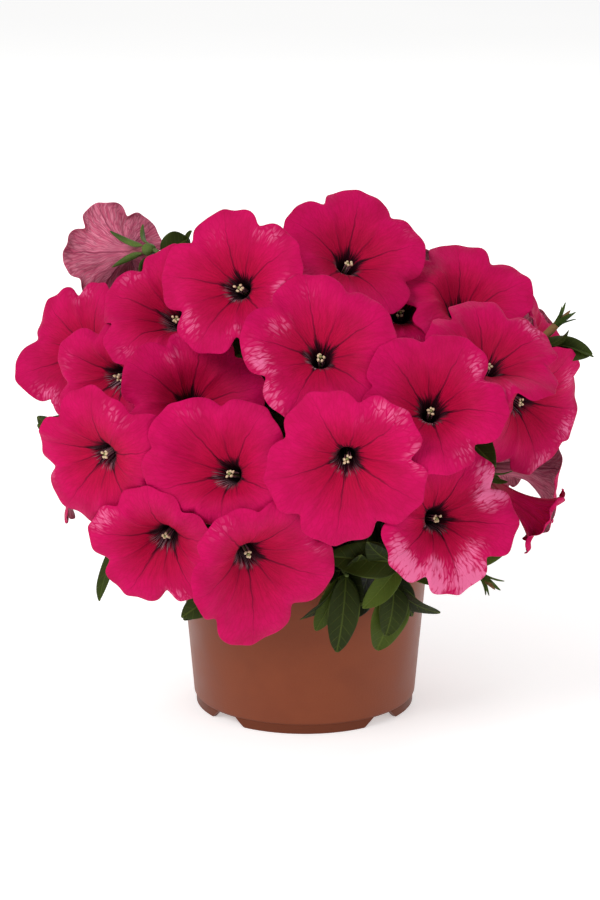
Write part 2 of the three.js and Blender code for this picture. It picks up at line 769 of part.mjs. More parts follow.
// Makes a shape again with new draws until it is clear of the others, and keeps the clearest.
// Where the shape has a far part, that part is clear of the plant's own growth too.
function growClear(make, tries, others, gap, own = []) {
  let best = null;
  let bestClearance = -1;
  for (let i = 0; i < tries; i += 1) {
    const made = make(i / tries);
    const far = made.far ? clearance(made.far, own, gap) : gap;
    const clear = Math.min(far, clearance(made.solid, others, gap));
    if (clear > bestClearance) {
      best = made;
      bestClearance = clear;
    }
    if (clear >= gap) {
      break;
    }
  }
  return { ...best, clearance: bestClearance };
}

function vector(numbers) {
  return new THREE.Vector3(...numbers);
}

function withDraw(draw, size) {
  return new THREE.Vector3(draw() - 0.5, draw() - 0.5, draw() - 0.5).multiplyScalar(2 * size);
}

function makeStemCore(stem) {
  const [x, y] = stem.foot;
  const foot = new THREE.CylinderGeometry(
    STEM.radius,
    STEM.radius,
    STEM.holeDepth + STEM.straight,
    STEM.sides,
  );
  foot.rotateX(Math.PI / 2);
  foot.translate(x, y, SOIL.top + (STEM.straight - STEM.holeDepth) / 2 + STEM.raised);
  const start = new THREE.Vector3(x, y, SOIL.top + STEM.straight - STEM.joined);
  const crown = vector(stem.crown);
  const bend = new THREE.Vector3(x, y, (start.z + crown.z) / 2);
  const curve = new THREE.QuadraticBezierCurve3(start, bend, crown);
  const upright = tubeAlong(curve, STEM.radius * STEM.taper, STEM.sides, STEM.steps);
  return { curve, solid: solidFromGeometry(foot).add(upright) };
}

// A flower stalk or side shoot from the stem to its end, arriving along a direction.
function growStalk(curve, end, direction, draw, others) {
  const low = THREE.MathUtils.clamp((end.z - WAY.lowest) / WAY.climb, ...WAY.first);
  return growClear((share) => {
    const from = THREE.MathUtils.clamp(low + share * (draw() - 0.5), ...WAY.widest);
    const start = curve.getPoint(from);
    const pull = WAY.pull[0] + WAY.pull[1] * draw();
    const rise = WAY.lift[0] + WAY.lift[1] * draw();
    const lift = new THREE.Vector3(0, 0, rise).add(withDraw(draw, WAY.stray[0] + WAY.stray[1] * share));
    const path = new THREE.CubicBezierCurve3(
      start,
      start.clone().lerp(end, WAY.bend).add(lift),
      end.clone().addScaledVector(direction, -pull).add(withDraw(draw, WAY.strayAtEnd * share)),
      end,
    );
    return { path, solid: tubeAlong(path, STALK.radius, STALK.sides, STALK.steps) };
  }, TRIES.stalk, others, STALK.gap);
}

function growLeaf(base, tip, width, draw, others, own) {
  return growClear((share) => {
    const moved = tip.clone().add(withDraw(draw, LEAF.stray * share));
    const hint = new THREE.Vector3(moved.x, moved.y, LEAF.upward).normalize().add(withDraw(draw, share));
    const far = makeLeaf(base.clone().lerp(moved, LEAF.rooted), moved, width, hint);
    return { solid: makeLeaf(base, moved, width, hint), far };
  }, TRIES.leaf, others, LEAF.gap, own);
}

// A leaf from a flower stalk, in a direction drawn at random but outward on the whole.
function growStalkLeaf(base, draw, others, own) {
  const middle = vector(MOUND.middle);
  return growClear(() => {
    const direction = base.clone().sub(middle).normalize();
    direction.add(withDraw(draw, STALK_LEAVES.stray)).normalize();
    const length = STALK_LEAVES.shortest + draw() * (STALK_LEAVES.longest - STALK_LEAVES.shortest);
    const tip = base.clone().addScaledVector(direction, length);
    tip.sub(middle).clampLength(0, MOUND.radius).add(middle);
    const hint = new THREE.Vector3(0, 0, 1).add(withDraw(draw, STALK_LEAVES.twist));
    const width = length * STALK_LEAVES.widthShare;
    const far = makeLeaf(base.clone().lerp(tip, LEAF.rooted), tip, width, hint);
    return { solid: makeLeaf(base, tip, width, hint), far };
  }, TRIES.leaf, others, LEAF.gap, own);
}

// ---------------------------------------------------------------- the plant

const plant = new THREE.Group();

function addNode(name, solid, look) {
  const material = new THREE.MeshStandardMaterial({ ...look, metalness: 0 });
  const mesh = new THREE.Mesh(geometryFromSolid(solid), material);
  mesh.name = name;
  plant.add(mesh);
}

function refuseCrowded(name, clear, gap) {
  if (clear < gap / 2) {
    throw new Error(`${name} is only ${clear.toFixed(2)} mm clear`);
  }
}

function withBox(solid) {
  return { solid, box: solid.boundingBox() };
}

// One bloom's share of the green: its calyx, its flower stalk and the leaves on that stalk.
function growFlowerStalk(body, bloom, curve, draw, others) {
  const frame = bloomFrame(bloom);
  const direction = new THREE.Vector3(0, 0, 1).transformDirection(frame);
  const depth = COROLLA.tubeLength + CALYX.gap + CALYX.below - CALYX.sunk;
  const end = new THREE.Vector3(0, 0, -depth).applyMatrix4(frame);
  const calyx = makeCalyx(frame, bloom.roll);
  refuseCrowded(`calyx of ${bloom.name}`, clearance(calyx, others, CALYX.gap), CALYX.gap);
  const stalk = growStalk(curve, end, direction, draw, others);
  refuseCrowded(`stalk of ${bloom.name}`, stalk.clearance, STALK.gap);
  let grown = body.add(calyx).add(stalk.solid);
  for (const share of STALK_LEAVES.shares) {
    const leaf = growStalkLeaf(onStalk(stalk.path, share), draw, others, [withBox(grown)]);
    if (leaf.clearance >= LEAF.gap) {
      grown = grown.add(leaf.solid);
    }
  }
  return grown;
}

// A side shoot with the leaves and buds at its end.
function growShoot(body, shoot, curve, draw, others) {
  const end = vector(shoot.to);
  const outward = new THREE.Vector3(end.x, end.y, 0).normalize();
  const stalk = growStalk(curve, end, outward, draw, others);
  refuseCrowded(`shoot to ${shoot.to}`, stalk.clearance, STALK.gap);
  let grown = body.add(stalk.solid);
  const tuft = onStalk(stalk.path, SHOOT.tuft);
  for (const [x, y, z, width] of shoot.leaves) {
    const leaf = growLeaf(tuft, new THREE.Vector3(x, y, z), width, draw, others, [withBox(grown)]);
    refuseCrowded(`leaf to ${[x, y, z]}`, leaf.clearance, LEAF.gap);
    grown = grown.add(leaf.solid);
  }
  for (const tip of shoot.buds) {
    const bud = makeBud(tuft, vector(tip));
    refuseCrowded(`bud at ${tip}`, clearance(bud, others, LEAF.gap), LEAF.gap);
    grown = grown.add(bud);
  }
  return grown;
}

function growStem(stem, index, others) {
  const draw = seededDraws(500 + 91 * index);
  const core = makeStemCore(stem);
  let body = core.solid;
  for (const bloom of BLOOMS.filter((each) => each.stem === stem.name)) {
    body = growFlowerStalk(body, bloom, core.curve, draw, others);
  }
  for (const shoot of stem.shoots) {
    body = growShoot(body, shoot, core.curve, draw, others);
  }
  return body.simplify(STEM.finest);
}

const pot = makePot();
addNode('pot', pot, COLOURS.pot);
addNode('soil', makeSoil(STEMS.map((stem) => stem.foot)), COLOURS.soil);

const limbs = BLOOMS.map(makeLimb);
layLimbs(limbs);
const corollas = BLOOMS.map((bloom, index) => makeBloom(bloom, limbs[index]));
BLOOMS.forEach((bloom, index) => addNode(bloom.name, corollas[index], COLOURS.petals));

// Each stem grows clear of the pot, the blooms and the stems before it.
const standing = [pot, ...corollas].map(withBox);
STEMS.forEach((stem, index) => {
  const solid = growStem(stem, index, standing);
  standing.push(withBox(solid));
  addNode(`leafy_stem_${stem.name}`, solid, COLOURS.green);
});

export default plant;
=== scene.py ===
# %% [markdown]
# # A potted petunia
# A bushy petunia in full bloom stands in a plain brown nursery pot. The lesson builds it in the
# order in which a gardener would name it: the pot, its soil, the open flowers, and the green
# growth that carries them. Everything is in metres, around the model that was packed before,
# so each new piece takes the place of one of that model's parts and stays where that part is.

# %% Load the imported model
import math

import bmesh
import bpy
from mathutils import Matrix, Vector, noise
from mathutils.bvhtree import BVHTree
from mathutils.kdtree import KDTree


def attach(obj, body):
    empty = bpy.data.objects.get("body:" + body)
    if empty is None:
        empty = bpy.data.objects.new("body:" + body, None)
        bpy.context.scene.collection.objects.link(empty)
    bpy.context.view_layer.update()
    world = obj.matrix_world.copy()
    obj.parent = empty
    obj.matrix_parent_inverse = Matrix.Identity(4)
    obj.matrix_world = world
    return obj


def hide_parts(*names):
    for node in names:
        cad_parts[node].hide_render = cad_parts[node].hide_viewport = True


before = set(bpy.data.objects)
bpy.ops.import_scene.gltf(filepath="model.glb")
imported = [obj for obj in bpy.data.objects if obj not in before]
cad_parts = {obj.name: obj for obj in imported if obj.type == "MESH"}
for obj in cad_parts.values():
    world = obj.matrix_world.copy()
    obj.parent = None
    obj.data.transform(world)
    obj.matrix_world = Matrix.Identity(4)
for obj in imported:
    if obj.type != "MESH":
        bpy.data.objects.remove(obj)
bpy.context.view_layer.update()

print("packed parts:", len(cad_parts))

# %% [markdown]
# ## The camera
# A product photograph of a pot plant is taken from a little above, far enough away that the pot
# hardly tapers. A long lens a metre and a half away does the same. The camera could be aimed
# with a constraint, but a plain rotation about X keeps the picture upright and easy to read.

# %% Place the camera
EYE = Vector((-0.00225, -1.449, 0.5216))
LOOK_DOWN = math.radians(15.2)
LENS_MM = 122.6
SENSOR_MM = 36.0

camera_data = bpy.data.cameras.new("camera")
camera_data.lens = LENS_MM
camera_data.sensor_width = SENSOR_MM
camera = bpy.data.objects.new("camera", camera_data)
camera.location = EYE
camera.rotation_euler = (math.pi / 2 - LOOK_DOWN, 0.0, 0.0)
bpy.context.scene.collection.objects.link(camera)
bpy.context.scene.camera = camera
print("camera at", tuple(round(value, 3) for value in EYE))

# %% [markdown]
# ## The light
# The plant is lit like a catalogue picture: one wide soft light high in front on the left, a
# weaker one on the right, one from behind to draw the edges, and a pale sky that fills the
# shadows. Small hard lamps would put sharp spots on the petals, so each light is a big area.

# %% Hang the lights and lay the floor
LIGHTS = {
    # name: (place, size, watts)
    "key": ((-1.15, -1.45, 1.65), 1.0, 28.0),
    "fill": ((1.3, -1.1, 0.7), 1.2, 3.5),
    "back": ((0.4, 1.4, 1.3), 1.0, 7.0),
}
AIM = Vector((0.0, 0.0, 0.13))
SKY_STRENGTH = 0.5
FLOOR_HALF = 4.0
FLOOR_COLOUR = (0.93, 0.925, 0.92, 1.0)
FLOOR_CLOUD = (0.9, 0.9, 0.9, 1.0)


def hang_light(name, place, size, watts):
    data = bpy.data.lights.new(name, "AREA")
    data.size = size
    data.energy = watts
    light = bpy.data.objects.new(name, data)
    light.location = place
    light.rotation_euler = (AIM - Vector(place)).to_track_quat("-Z", "Y").to_euler()
    bpy.context.scene.collection.objects.link(light)


for name, (place, size, watts) in LIGHTS.items():
    hang_light(name, place, size, watts)

sky = bpy.data.worlds.new("sky")
sky.use_nodes = True
sky.node_tree.nodes["Background"].inputs["Color"].default_value = (1.0, 1.0, 1.0, 1.0)
sky.node_tree.nodes["Background"].inputs["Strength"].default_value = SKY_STRENGTH
bpy.context.scene.world = sky
bpy.context.scene.view_settings.view_transform = "Standard"
print("lights:", ", ".join(LIGHTS))

# %% [markdown]
# ## Helpers for meshes
# Each piece starts as a bmesh, is shaped by operators, and becomes an object at the origin with
# its place in its mesh. One helper does that last step for every piece, and smooths its shading.

# %% Turn a bmesh into a piece
MM = 0.001


def finish_mesh(name, bm, materials, slot, smooth=True):
    mesh = bpy.data.meshes.new(name)
    bm.to_mesh(mesh)
    bm.free()
    for material in materials:
        mesh.materials.append(material)
    mesh.polygons.foreach_set("use_smooth", [smooth] * len(mesh.polygons))
    piece = bpy.data.objects.new(name, mesh)
    bpy.context.scene.collection.objects.link(piece)
    if slot:
        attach(piece, "root")
    return piece


def add_subdivision(piece, levels):
    modifier = piece.modifiers.new("smooth", "SUBSURF")
    modifier.levels = levels
    modifier.render_levels = levels


print("a millimetre in scene units:", MM)

# %% [markdown]
# ## Helpers for materials
# A material here is a small tree of nodes. Writing each node and each wire by hand takes many
# lines, so one helper makes a node, sets what it is told, and wires every input that is given
# as another node's output. Colours are written as a painter reads them from a screen, from 0 to
# 255, and turned into the linear values that the renderer works with.

# %% Make nodes and colours
def colour(red, green, blue):
    def linear(value):
        share = value / 255
        return share / 12.92 if share <= 0.04045 else ((share + 0.055) / 1.055) ** 2.4

    return (linear(red), linear(green), linear(blue), 1.0)


def add_node(tree, kind, inputs=(), **settings):
    node = tree.nodes.new("ShaderNode" + kind)
    for name, value in settings.items():
        setattr(node, name, value)
    for key, value in dict(inputs).items():
        if isinstance(value, bpy.types.NodeSocket):
            tree.links.new(value, node.inputs[key])
        else:
            node.inputs[key].default_value = value
    return node


def add_math(tree, operation, *values, clamp=False):
    node = add_node(tree, "Math", enumerate(values), operation=operation, use_clamp=clamp)
    return node.outputs[0]


def add_ramp(tree, value, low, high, to_low=0.0, to_high=1.0):
    inputs = {"Value": value, "From Min": low, "From Max": high, "To Min": to_low, "To Max": to_high}
    node = add_node(tree, "MapRange", inputs, interpolation_type="SMOOTHSTEP")
    return node.outputs["Result"]


def mix_colours(tree, factor, first, second, blend="MIX"):
    node = add_node(tree, "Mix", {0: factor, 6: first, 7: second}, data_type="RGBA", blend_type=blend)
    return node.outputs[2]


def new_material(name, **constants):
    material = bpy.data.materials.new(name)
    material.use_nodes = True
    shader = material.node_tree.nodes["Principled BSDF"]
    for key, value in constants.items():
        shader.inputs[key.replace("_", " ")].default_value = value
    return material, material.node_tree, shader


def add_bump(tree, shader, height, strength, distance):
    inputs = {"Height": height, "Strength": strength, "Distance": distance}
    bump = add_node(tree, "Bump", inputs)
    tree.links.new(bump.outputs["Normal"], shader.inputs["Normal"])


print("a magenta in linear light:", [round(value, 3) for value in colour(204, 19, 90)])

# %% [markdown]
# ## Grain, shared by several finishes
# Moulded plastic, a leaf and a petal all have a skin with a fine grain, each at its own scale. A
# node group is the way to build such an effect once: it takes a scale and gives back a height for
# a bump and a slow variation for colour and roughness. Each material then places it with its own
# values.

# %% Build the grain group
grain_group = bpy.data.node_groups.new("skin grain", "ShaderNodeTree")
grain_group.interface.new_socket("Vector", in_out="INPUT", socket_type="NodeSocketVector")
grain_group.interface.new_socket("Scale", in_out="INPUT", socket_type="NodeSocketFloat")
grain_group.interface.new_socket("Fine", in_out="OUTPUT", socket_type="NodeSocketFloat")
grain_group.interface.new_socket("Slow", in_out="OUTPUT", socket_type="NodeSocketFloat")
grain_in = grain_group.nodes.new("NodeGroupInput")
grain_out = grain_group.nodes.new("NodeGroupOutput")
fine_grain = add_node(grain_group, "TexNoise", {
    "Vector": grain_in.outputs["Vector"], "Scale": grain_in.outputs["Scale"], "Detail": 3.0,
})
slow_scale = add_math(grain_group, "MULTIPLY", grain_in.outputs["Scale"], 0.05)
slow_grain = add_node(grain_group, "TexNoise", {
    "Vector": grain_in.outputs["Vector"], "Scale": slow_scale, "Detail": 2.0,
})
grain_group.links.new(fine_grain.outputs[0], grain_out.inputs["Fine"])
grain_group.links.new(slow_grain.outputs[0], grain_out.inputs["Slow"])


def add_grain(tree, scale):
    place = add_node(tree, "TexCoord").outputs["Object"]
    node = tree.nodes.new("ShaderNodeGroup")
    node.node_tree = grain_group
    tree.links.new(place, node.inputs["Vector"])
    node.inputs["Scale"].default_value = scale
    return node.outputs["Fine"], node.outputs["Slow"]


# %% [markdown]
# ## The floor
# The floor is not part of the plant. It is one wide sheet, so pale that it melts into the sky
# and leaves only the soft shadow under the pot. A little light of its own keeps its far end as
# white as its middle.

# %% Lay the floor
floor_material, floor_tree, floor_shader = new_material(
    "pale floor", Roughness=0.95, Specular_IOR_Level=0.0, Emission_Strength=0.5,
)
_, floor_slow = add_grain(floor_tree, 40.0)
floor_tone = mix_colours(floor_tree, floor_slow, FLOOR_COLOUR, FLOOR_CLOUD)
floor_tree.links.new(floor_tone, floor_shader.inputs["Base Color"])
floor_tree.links.new(floor_tone, floor_shader.inputs["Emission Color"])
floor_mesh = bmesh.new()
bmesh.ops.create_grid(floor_mesh, x_segments=2, y_segments=2, size=FLOOR_HALF)
floor = finish_mesh("floor", floor_mesh, [floor_material], None)
print("floor sheet:", 2 * FLOOR_HALF, "m wide")

# %% [markdown]
# ## The pot
# A nursery pot is blown or moulded in one thin wall. It tapers a little, has a plain band for a
# rim, and stands on a ring that is cut by notches into four feet, so water can run out below. A
# turned shape like this is a half section swept round an axis. The spin operator does it with
# clean rings of faces, where a stack of cylinders would leave seams.

# %% Turn the pot's section round its axis
TURN_STEPS = 180
POT_SECTION = [
    # radius and height in mm, from the middle of the underside out, up and back in
    (0.0, 5.0), (51.0, 5.0), (51.5, 4.4), (51.5, 0.35), (51.9, 0.0), (53.5, 0.0), (54.0, 0.4),
    (54.0, 4.6), (54.5, 5.1), (55.0, 5.8), (62.0, 87.0), (62.4, 87.3), (64.3, 87.4), (64.7, 87.9),
    (65.0, 94.0), (64.8, 94.7), (64.2, 95.0), (63.7, 94.9), (63.3, 94.4), (60.5, 87.0),
    (53.7, 8.0), (53.0, 7.0), (0.0, 7.0),
]


def turn_section(bm, section, steps=TURN_STEPS, angle=2 * math.pi):
    points = [bm.verts.new((radius * MM, 0.0, height * MM)) for radius, height in section]
    edges = [bm.edges.new(pair) for pair in zip(points, points[1:])]
    bmesh.ops.spin(
        bm, geom=points + edges, cent=(0, 0, 0), axis=(0, 0, 1),
        angle=angle, steps=steps, use_merge=angle > 6,
    )
    bmesh.ops.remove_doubles(bm, verts=bm.verts, dist=1e-6)


pot_mesh = bmesh.new()
turn_section(pot_mesh, POT_SECTION)
bmesh.ops.recalc_face_normals(pot_mesh, faces=pot_mesh.faces)
print("pot faces:", len(pot_mesh.faces))

# %% [markdown]
# ## The notches and the drain holes
# The four notches in the foot ring slope outwards like a wide letter V with a flat top, and the
# floor of the pot has one hole in its middle and six round it. Cutting them by hand would mean
# deleting faces and sewing walls, so a Boolean takes tools of the right shape away instead. Each
# notch tool is a small block whose foot is spread wider than its top.

# %% Cut the notches and holes
NOTCH_COUNT = 4
NOTCH_FIRST = math.radians(45)
NOTCH_TOP = math.radians(6.3)
NOTCH_FOOT = math.radians(12)
NOTCH_HEIGHT = 4.5 * MM
FOOT_RADIUS = 54 * MM
DRAIN_RADIUS = 4 * MM
DRAIN_RING = 38 * MM
DRAIN_COUNT = 6
DRAIN_MIDDLE = 6 * MM  # half way through the floor of the pot
DRAIN_TOOL = 12 * MM
# The notch tool reaches past the ring on both sides and below, and is wider down there.
TOOL_OUTER = 1.06 * FOOT_RADIUS
TOOL_INNER = 0.88 * FOOT_RADIUS
TOOL_FOOT = 1.1 * NOTCH_FOOT
TOOL_BELOW = -0.8 * MM


def add_notch_tool(bm, turn):
    block = bmesh.ops.create_cube(bm, size=1.0)["verts"]
    for vertex in block:
        upper = vertex.co.z > 0
        half = NOTCH_TOP if upper else TOOL_FOOT
        angle = half if vertex.co.y > 0 else -half
        radius = TOOL_OUTER if vertex.co.x > 0 else TOOL_INNER
        height = NOTCH_HEIGHT if upper else TOOL_BELOW
        vertex.co = (radius * math.cos(angle), radius * math.sin(angle), height)
    bmesh.ops.rotate(bm, verts=block, matrix=Matrix.Rotation(turn, 3, "Z"))


def add_drain_tool(bm, x, y):
    place = Matrix.Translation((x, y, DRAIN_MIDDLE))
    bmesh.ops.create_cone(
        bm, cap_ends=True, segments=32, radius1=DRAIN_RADIUS, radius2=DRAIN_RADIUS,
        depth=DRAIN_TOOL, matrix=place,
    )


tool_mesh = bmesh.new()
for index in range(NOTCH_COUNT):
    add_notch_tool(tool_mesh, NOTCH_FIRST + 2 * math.pi * index / NOTCH_COUNT)
add_drain_tool(tool_mesh, 0, 0)
for index in range(DRAIN_COUNT):
    turn = 2 * math.pi * index / DRAIN_COUNT
    add_drain_tool(tool_mesh, DRAIN_RING * math.cos(turn), DRAIN_RING * math.sin(turn))
bmesh.ops.recalc_face_normals(tool_mesh, faces=tool_mesh.faces)


def cut_away(bm, tool_bm):
    body = finish_mesh("uncut", bm, [], None)
    tool = finish_mesh("tool", tool_bm, [], None)
    cut = body.modifiers.new("cut", "BOOLEAN")
    cut.object = tool
    cut.operation = "DIFFERENCE"
    cut.solver = "EXACT"
    result = bmesh.new()
    bpy.context.view_layer.update()
    result.from_object(body, bpy.context.evaluated_depsgraph_get())
    for used in (body, tool):
        bpy.data.objects.remove(used)
    return result


pot_mesh = cut_away(pot_mesh, tool_mesh)
print("pot faces after the cuts:", len(pot_mesh.faces))

# %% [markdown]
# ## The pot's plastic
# The plastic is a warm terracotta brown with a satin skin. It is not one flat colour: the melt
# leaves slow clouds in it, the surface has a very fine grain that breaks up highlights, faint
# rings run round the wall where the mould was turned, and the feet carry a painted shade that
# darkens them towards the ground.

# %% Finish the pot
POT_BROWN = colour(130, 66, 41)
POT_BROWN_DARK = colour(124, 62, 39)
POT_FOOT_SHADE = colour(92, 44, 26)
FOOT_SHADE_FROM = 0.0064  # metres above the ground where the painted shade on the feet begins
FOOT_SHADE_FULL = 0.0042
FOOT_SHADE_SHARE = 0.7
RING_TURNS = 5200.0  # radians in a metre, so a ring every 1.2 mm
POT_SHARP = math.radians(38)

pot_material, pot_tree, pot_shader = new_material("terracotta plastic", Specular_IOR_Level=0.14)
pot_fine, pot_slow = add_grain(pot_tree, 900.0)
pot_place = add_node(pot_tree, "TexCoord").outputs["Object"]
pot_height = add_node(pot_tree, "SeparateXYZ", {0: pot_place}).outputs["Z"]
ring_phase = add_math(pot_tree, "MULTIPLY", pot_height, RING_TURNS)
ring_wave = add_math(pot_tree, "SINE", ring_phase)
pot_clouds = add_ramp(pot_tree, pot_slow, 0.3, 0.7)
pot_base = mix_colours(pot_tree, pot_clouds, POT_BROWN_DARK, POT_BROWN)
# painted shade: the feet turn a darker brown towards the ground
foot_shade = add_ramp(pot_tree, pot_height, FOOT_SHADE_FROM, FOOT_SHADE_FULL, 0.0, FOOT_SHADE_SHARE)
pot_base = mix_colours(pot_tree, foot_shade, pot_base, POT_FOOT_SHADE)
pot_tree.links.new(pot_base, pot_shader.inputs["Base Color"])
pot_rough = add_ramp(pot_tree, pot_slow, 0.2, 0.8, 0.34, 0.46)
pot_tree.links.new(pot_rough, pot_shader.inputs["Roughness"])
ring_height = add_math(pot_tree, "MULTIPLY", ring_wave, 0.12)
pot_relief = add_math(pot_tree, "ADD", pot_fine, ring_height)
add_bump(pot_tree, pot_shader, pot_relief, 0.25, 0.0002)

pot = finish_mesh("nursery_pot", pot_mesh, [pot_material], "pot_plastic")
pot.data.set_sharp_from_angle(angle=POT_SHARP)
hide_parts("pot")
print("pot finished:", len(pot.data.polygons), "faces")

# %% [markdown]
# ## The potting mix
# The pot is filled to just under its rim with a dark, crumbly mix. Its surface is a disc that is
# roughened by noise at two scales, and small loose crumbs lie on it. A smooth disc with a bump
# would look painted from the side, so the roughness is real shape.

# %% Fill the pot
SOIL_BOTTOM = 7.5
SOIL_TOP = 82.0
SOIL_SECTION = [(0.0, SOIL_BOTTOM), (53.0, SOIL_BOTTOM), (59.5, 81.0), (59.0, SOIL_TOP)]
SOIL_SECTION += [(radius, SOIL_TOP + 0.4) for radius in range(57, -1, -3)]
SOIL_STEPS = 96


def crumble(place):
    coarse = noise.noise(place * 90) * 1.1
    fine = noise.noise(place * 420) * 0.9
    return (coarse + fine) * MM


soil_mesh = bmesh.new()
turn_section(soil_mesh, SOIL_SECTION, steps=SOIL_STEPS)
bmesh.ops.recalc_face_normals(soil_mesh, faces=soil_mesh.faces)
for vertex in soil_mesh.verts:
    if vertex.co.z > (SOIL_TOP - 0.5) * MM:
        vertex.co.z += crumble(vertex.co)

# %% [markdown]
# The crumbs are small lumps with few faces each, because there are many. Their places and sizes
# come from a small generator with a fixed seed, so every run of the script scatters them the
# same way. The lumps' own dents come from the noise module, which is seeded too. All other
# chance in this lesson comes from the same small generator.

# %% Scatter crumbs
CRUMB_COUNT = 260
CRUMB_REACH = 57 * MM
CRUMB_SMALLEST = 0.8
CRUMB_LARGER = 1.6  # what a draw can add to the smallest


def seeded_draws(seed):
    state = seed
    while True:
        state = state * 16807 % 2147483647
        yield state / 2147483647


def scatter_crumbs(bm, draws):
    for _ in range(CRUMB_COUNT):
        radius = CRUMB_REACH * math.sqrt(next(draws))
        turn = 2 * math.pi * next(draws)
        size = (CRUMB_SMALLEST + CRUMB_LARGER * next(draws)) * MM
        lump = bmesh.ops.create_icosphere(bm, subdivisions=1, radius=size)["verts"]
        place = Vector((radius * math.cos(turn), radius * math.sin(turn), (SOIL_TOP + 0.7) * MM))
        for vertex in lump:
            vertex.co *= 0.75 + 0.5 * noise.random()
            vertex.co.z *= 0.7
        bmesh.ops.translate(bm, verts=lump, vec=place)


noise.seed_set(7)
scatter_crumbs(soil_mesh, seeded_draws(11))

SOIL_DARK = colour(30, 22, 17)
SOIL_LIGHT = colour(74, 56, 42)
soil_material, soil_tree, soil_shader = new_material("potting mix", Roughness=0.95)
soil_fine, _ = add_grain(soil_tree, 700.0)
soil_tone = add_ramp(soil_tree, soil_fine, 0.35, 0.75)
soil_base = mix_colours(soil_tree, soil_tone, SOIL_DARK, SOIL_LIGHT)
soil_tree.links.new(soil_base, soil_shader.inputs["Base Color"])
add_bump(soil_tree, soil_shader, soil_fine, 0.7, 0.0006)
soil = finish_mesh("potting_mix_top", soil_mesh, [soil_material], "potting_mix")
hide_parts("soil")
print("soil finished:", len(soil.data.polygons), "faces")

# %% [markdown]
# ## Where the flowers are
# Each open flower is one row: its name, the middle of its throat, where it faces (yaw about the
# vertical and rise above the horizontal, in degrees), its roll, how far its lobes reach, how deep
# they ruffle, and the stem that carries it. A few flowers have a lobe that is shorter or longer
# than the rest. Lengths are in metres.

# %% List the flowers
BLOOM_ROWS = [
    # name, middle of the throat, yaw, rise, roll, reach, ruffle, stem, lobe shares
    ("bloom_22", (0.110, 0.008, 0.116), 94, -2, 20, 0.032, 0.003, "right"),
    ("bloom_23", (0.086, 0.070, 0.113), 130, 0, 50, 0.033, 0.003, "right_of_back"),
    ("bloom_24", (0.028, 0.108, 0.117), 166, 2, 5, 0.034, 0.003, "back_right"),
    ("bloom_25", (-0.038, 0.105, 0.112), 202, -4, 35, 0.033, 0.003, "back"),
    ("bloom_26", (-0.092, 0.062, 0.116), 238, 2, 60, 0.033, 0.003, "back_left"),
    ("bloom_27", (-0.106, 0.012, 0.116), -88, 0, 25, 0.029, 0.003, "left"),
    ("bloom_28", (0.104, 0.042, 0.168), 112, 20, 15, 0.032, 0.003, "right_of_back"),
    ("bloom_29", (0.062, 0.092, 0.165), 148, 24, 40, 0.034, 0.003, "back_right"),
    ("bloom_30", (-0.006, 0.114, 0.169), 184, 20, 65, 0.033, 0.003, "back"),
    ("bloom_31", (-0.070, 0.088, 0.164), 220, 22, 10, 0.034, 0.003, "back_left"),
    ("bloom_32", (-0.108, 0.034, 0.168), -110, 18, 45, 0.031, 0.003, "left"),
    ("bloom_33", (0.062, 0.030, 0.200), 120, 45, 30, 0.031, 0.003, "right_of_back"),
    ("bloom_34", (0.020, 0.068, 0.198), 168, 48, 0, 0.033, 0.003, "back_right"),
    ("bloom_35", (-0.036, 0.062, 0.198), 215, 46, 25, 0.032, 0.003, "back_left"),
    ("bloom_20", (0.045, -0.042, 0.206), 0, 35, 20, 0.021, 0.002, "top"),
    ("bloom_21", (0.108, -0.004, 0.178), 80, 25, 10, 0.025, 0.003, "right"),
    ("bloom_01", (-0.088, 0.010, 0.224), -150, -14, 10, 0.026, 0.003, "left"),
    ("bloom_15", (-0.103, -0.013, 0.180), -42, 22, 0, 0.034, 0.004, "left"),
    ("bloom_14", (-0.087, -0.054, 0.178), -38, -2, 10, 0.031, 0.002, "front_left", (1, 0.85, 1, 1, 0.68)),
    ("bloom_19", (0.104, -0.058, 0.116), 80, -34, 30, 0.018, 0.003, "front_right"),
    ("bloom_06", (0.074, -0.026, 0.201), 12, 48, 15, 0.034, 0.003, "right"),
    ("bloom_09", (0.102, -0.038, 0.162), 42, -12, 64, 0.033, 0.003, "right"),
    ("bloom_07", (0.084, -0.078, 0.188), 32, 56, 10, 0.033, 0.002, "front_right"),
    ("bloom_03", (-0.060, -0.048, 0.204), -32, 35, 30, 0.033, 0.002, "front_left"),
    ("bloom_36", (0.002, 0.016, 0.214), 190, 72, 20, 0.030, 0.003, "top"),
    ("bloom_04", (0.020, -0.036, 0.228), 20, 42, 0, 0.035, 0.002, "top"),
    ("bloom_13", (-0.053, -0.076, 0.170), 8, 34, 5, 0.034, 0.002, "front_left"),
    ("bloom_02", (-0.030, -0.070, 0.224), -22, 26, 35, 0.035, 0.002, "top"),
    ("bloom_16", (-0.091, -0.095, 0.152), -35, -12, 15, 0.036, 0.003, "front_left", (1, 1, 0.8, 1, 1)),
    ("bloom_05", (0.007, -0.098, 0.198), 0, 38, 30, 0.036, 0.002, "front"),
    ("bloom_11", (0.060, -0.102, 0.123), 25, 12, 62, 0.035, 0.002, "right_of_front"),
    ("bloom_12", (-0.034, -0.108, 0.146), -25, 20, 60, 0.035, 0.002, "left_of_front", (1, 1, 1, 0.68, 1)),
    ("bloom_08", (0.057, -0.103, 0.174), 5, 35, 60, 0.034, 0.002, "right_of_front"),
    ("bloom_17", (-0.064, -0.092, 0.112), -18, -14, 20, 0.033, 0.002, "left_of_front", (1, 1, 1, 1, 0.9)),
    ("bloom_18", (-0.026, -0.114, 0.110), 22, -16, 58, 0.037, 0.002, "left_of_front",
     (1, 0.9, 0.87, 1.2, 1.05)),
    ("bloom_10", (0.019, -0.118, 0.156), 0, -4, 45, 0.037, 0.002, "front"),
]


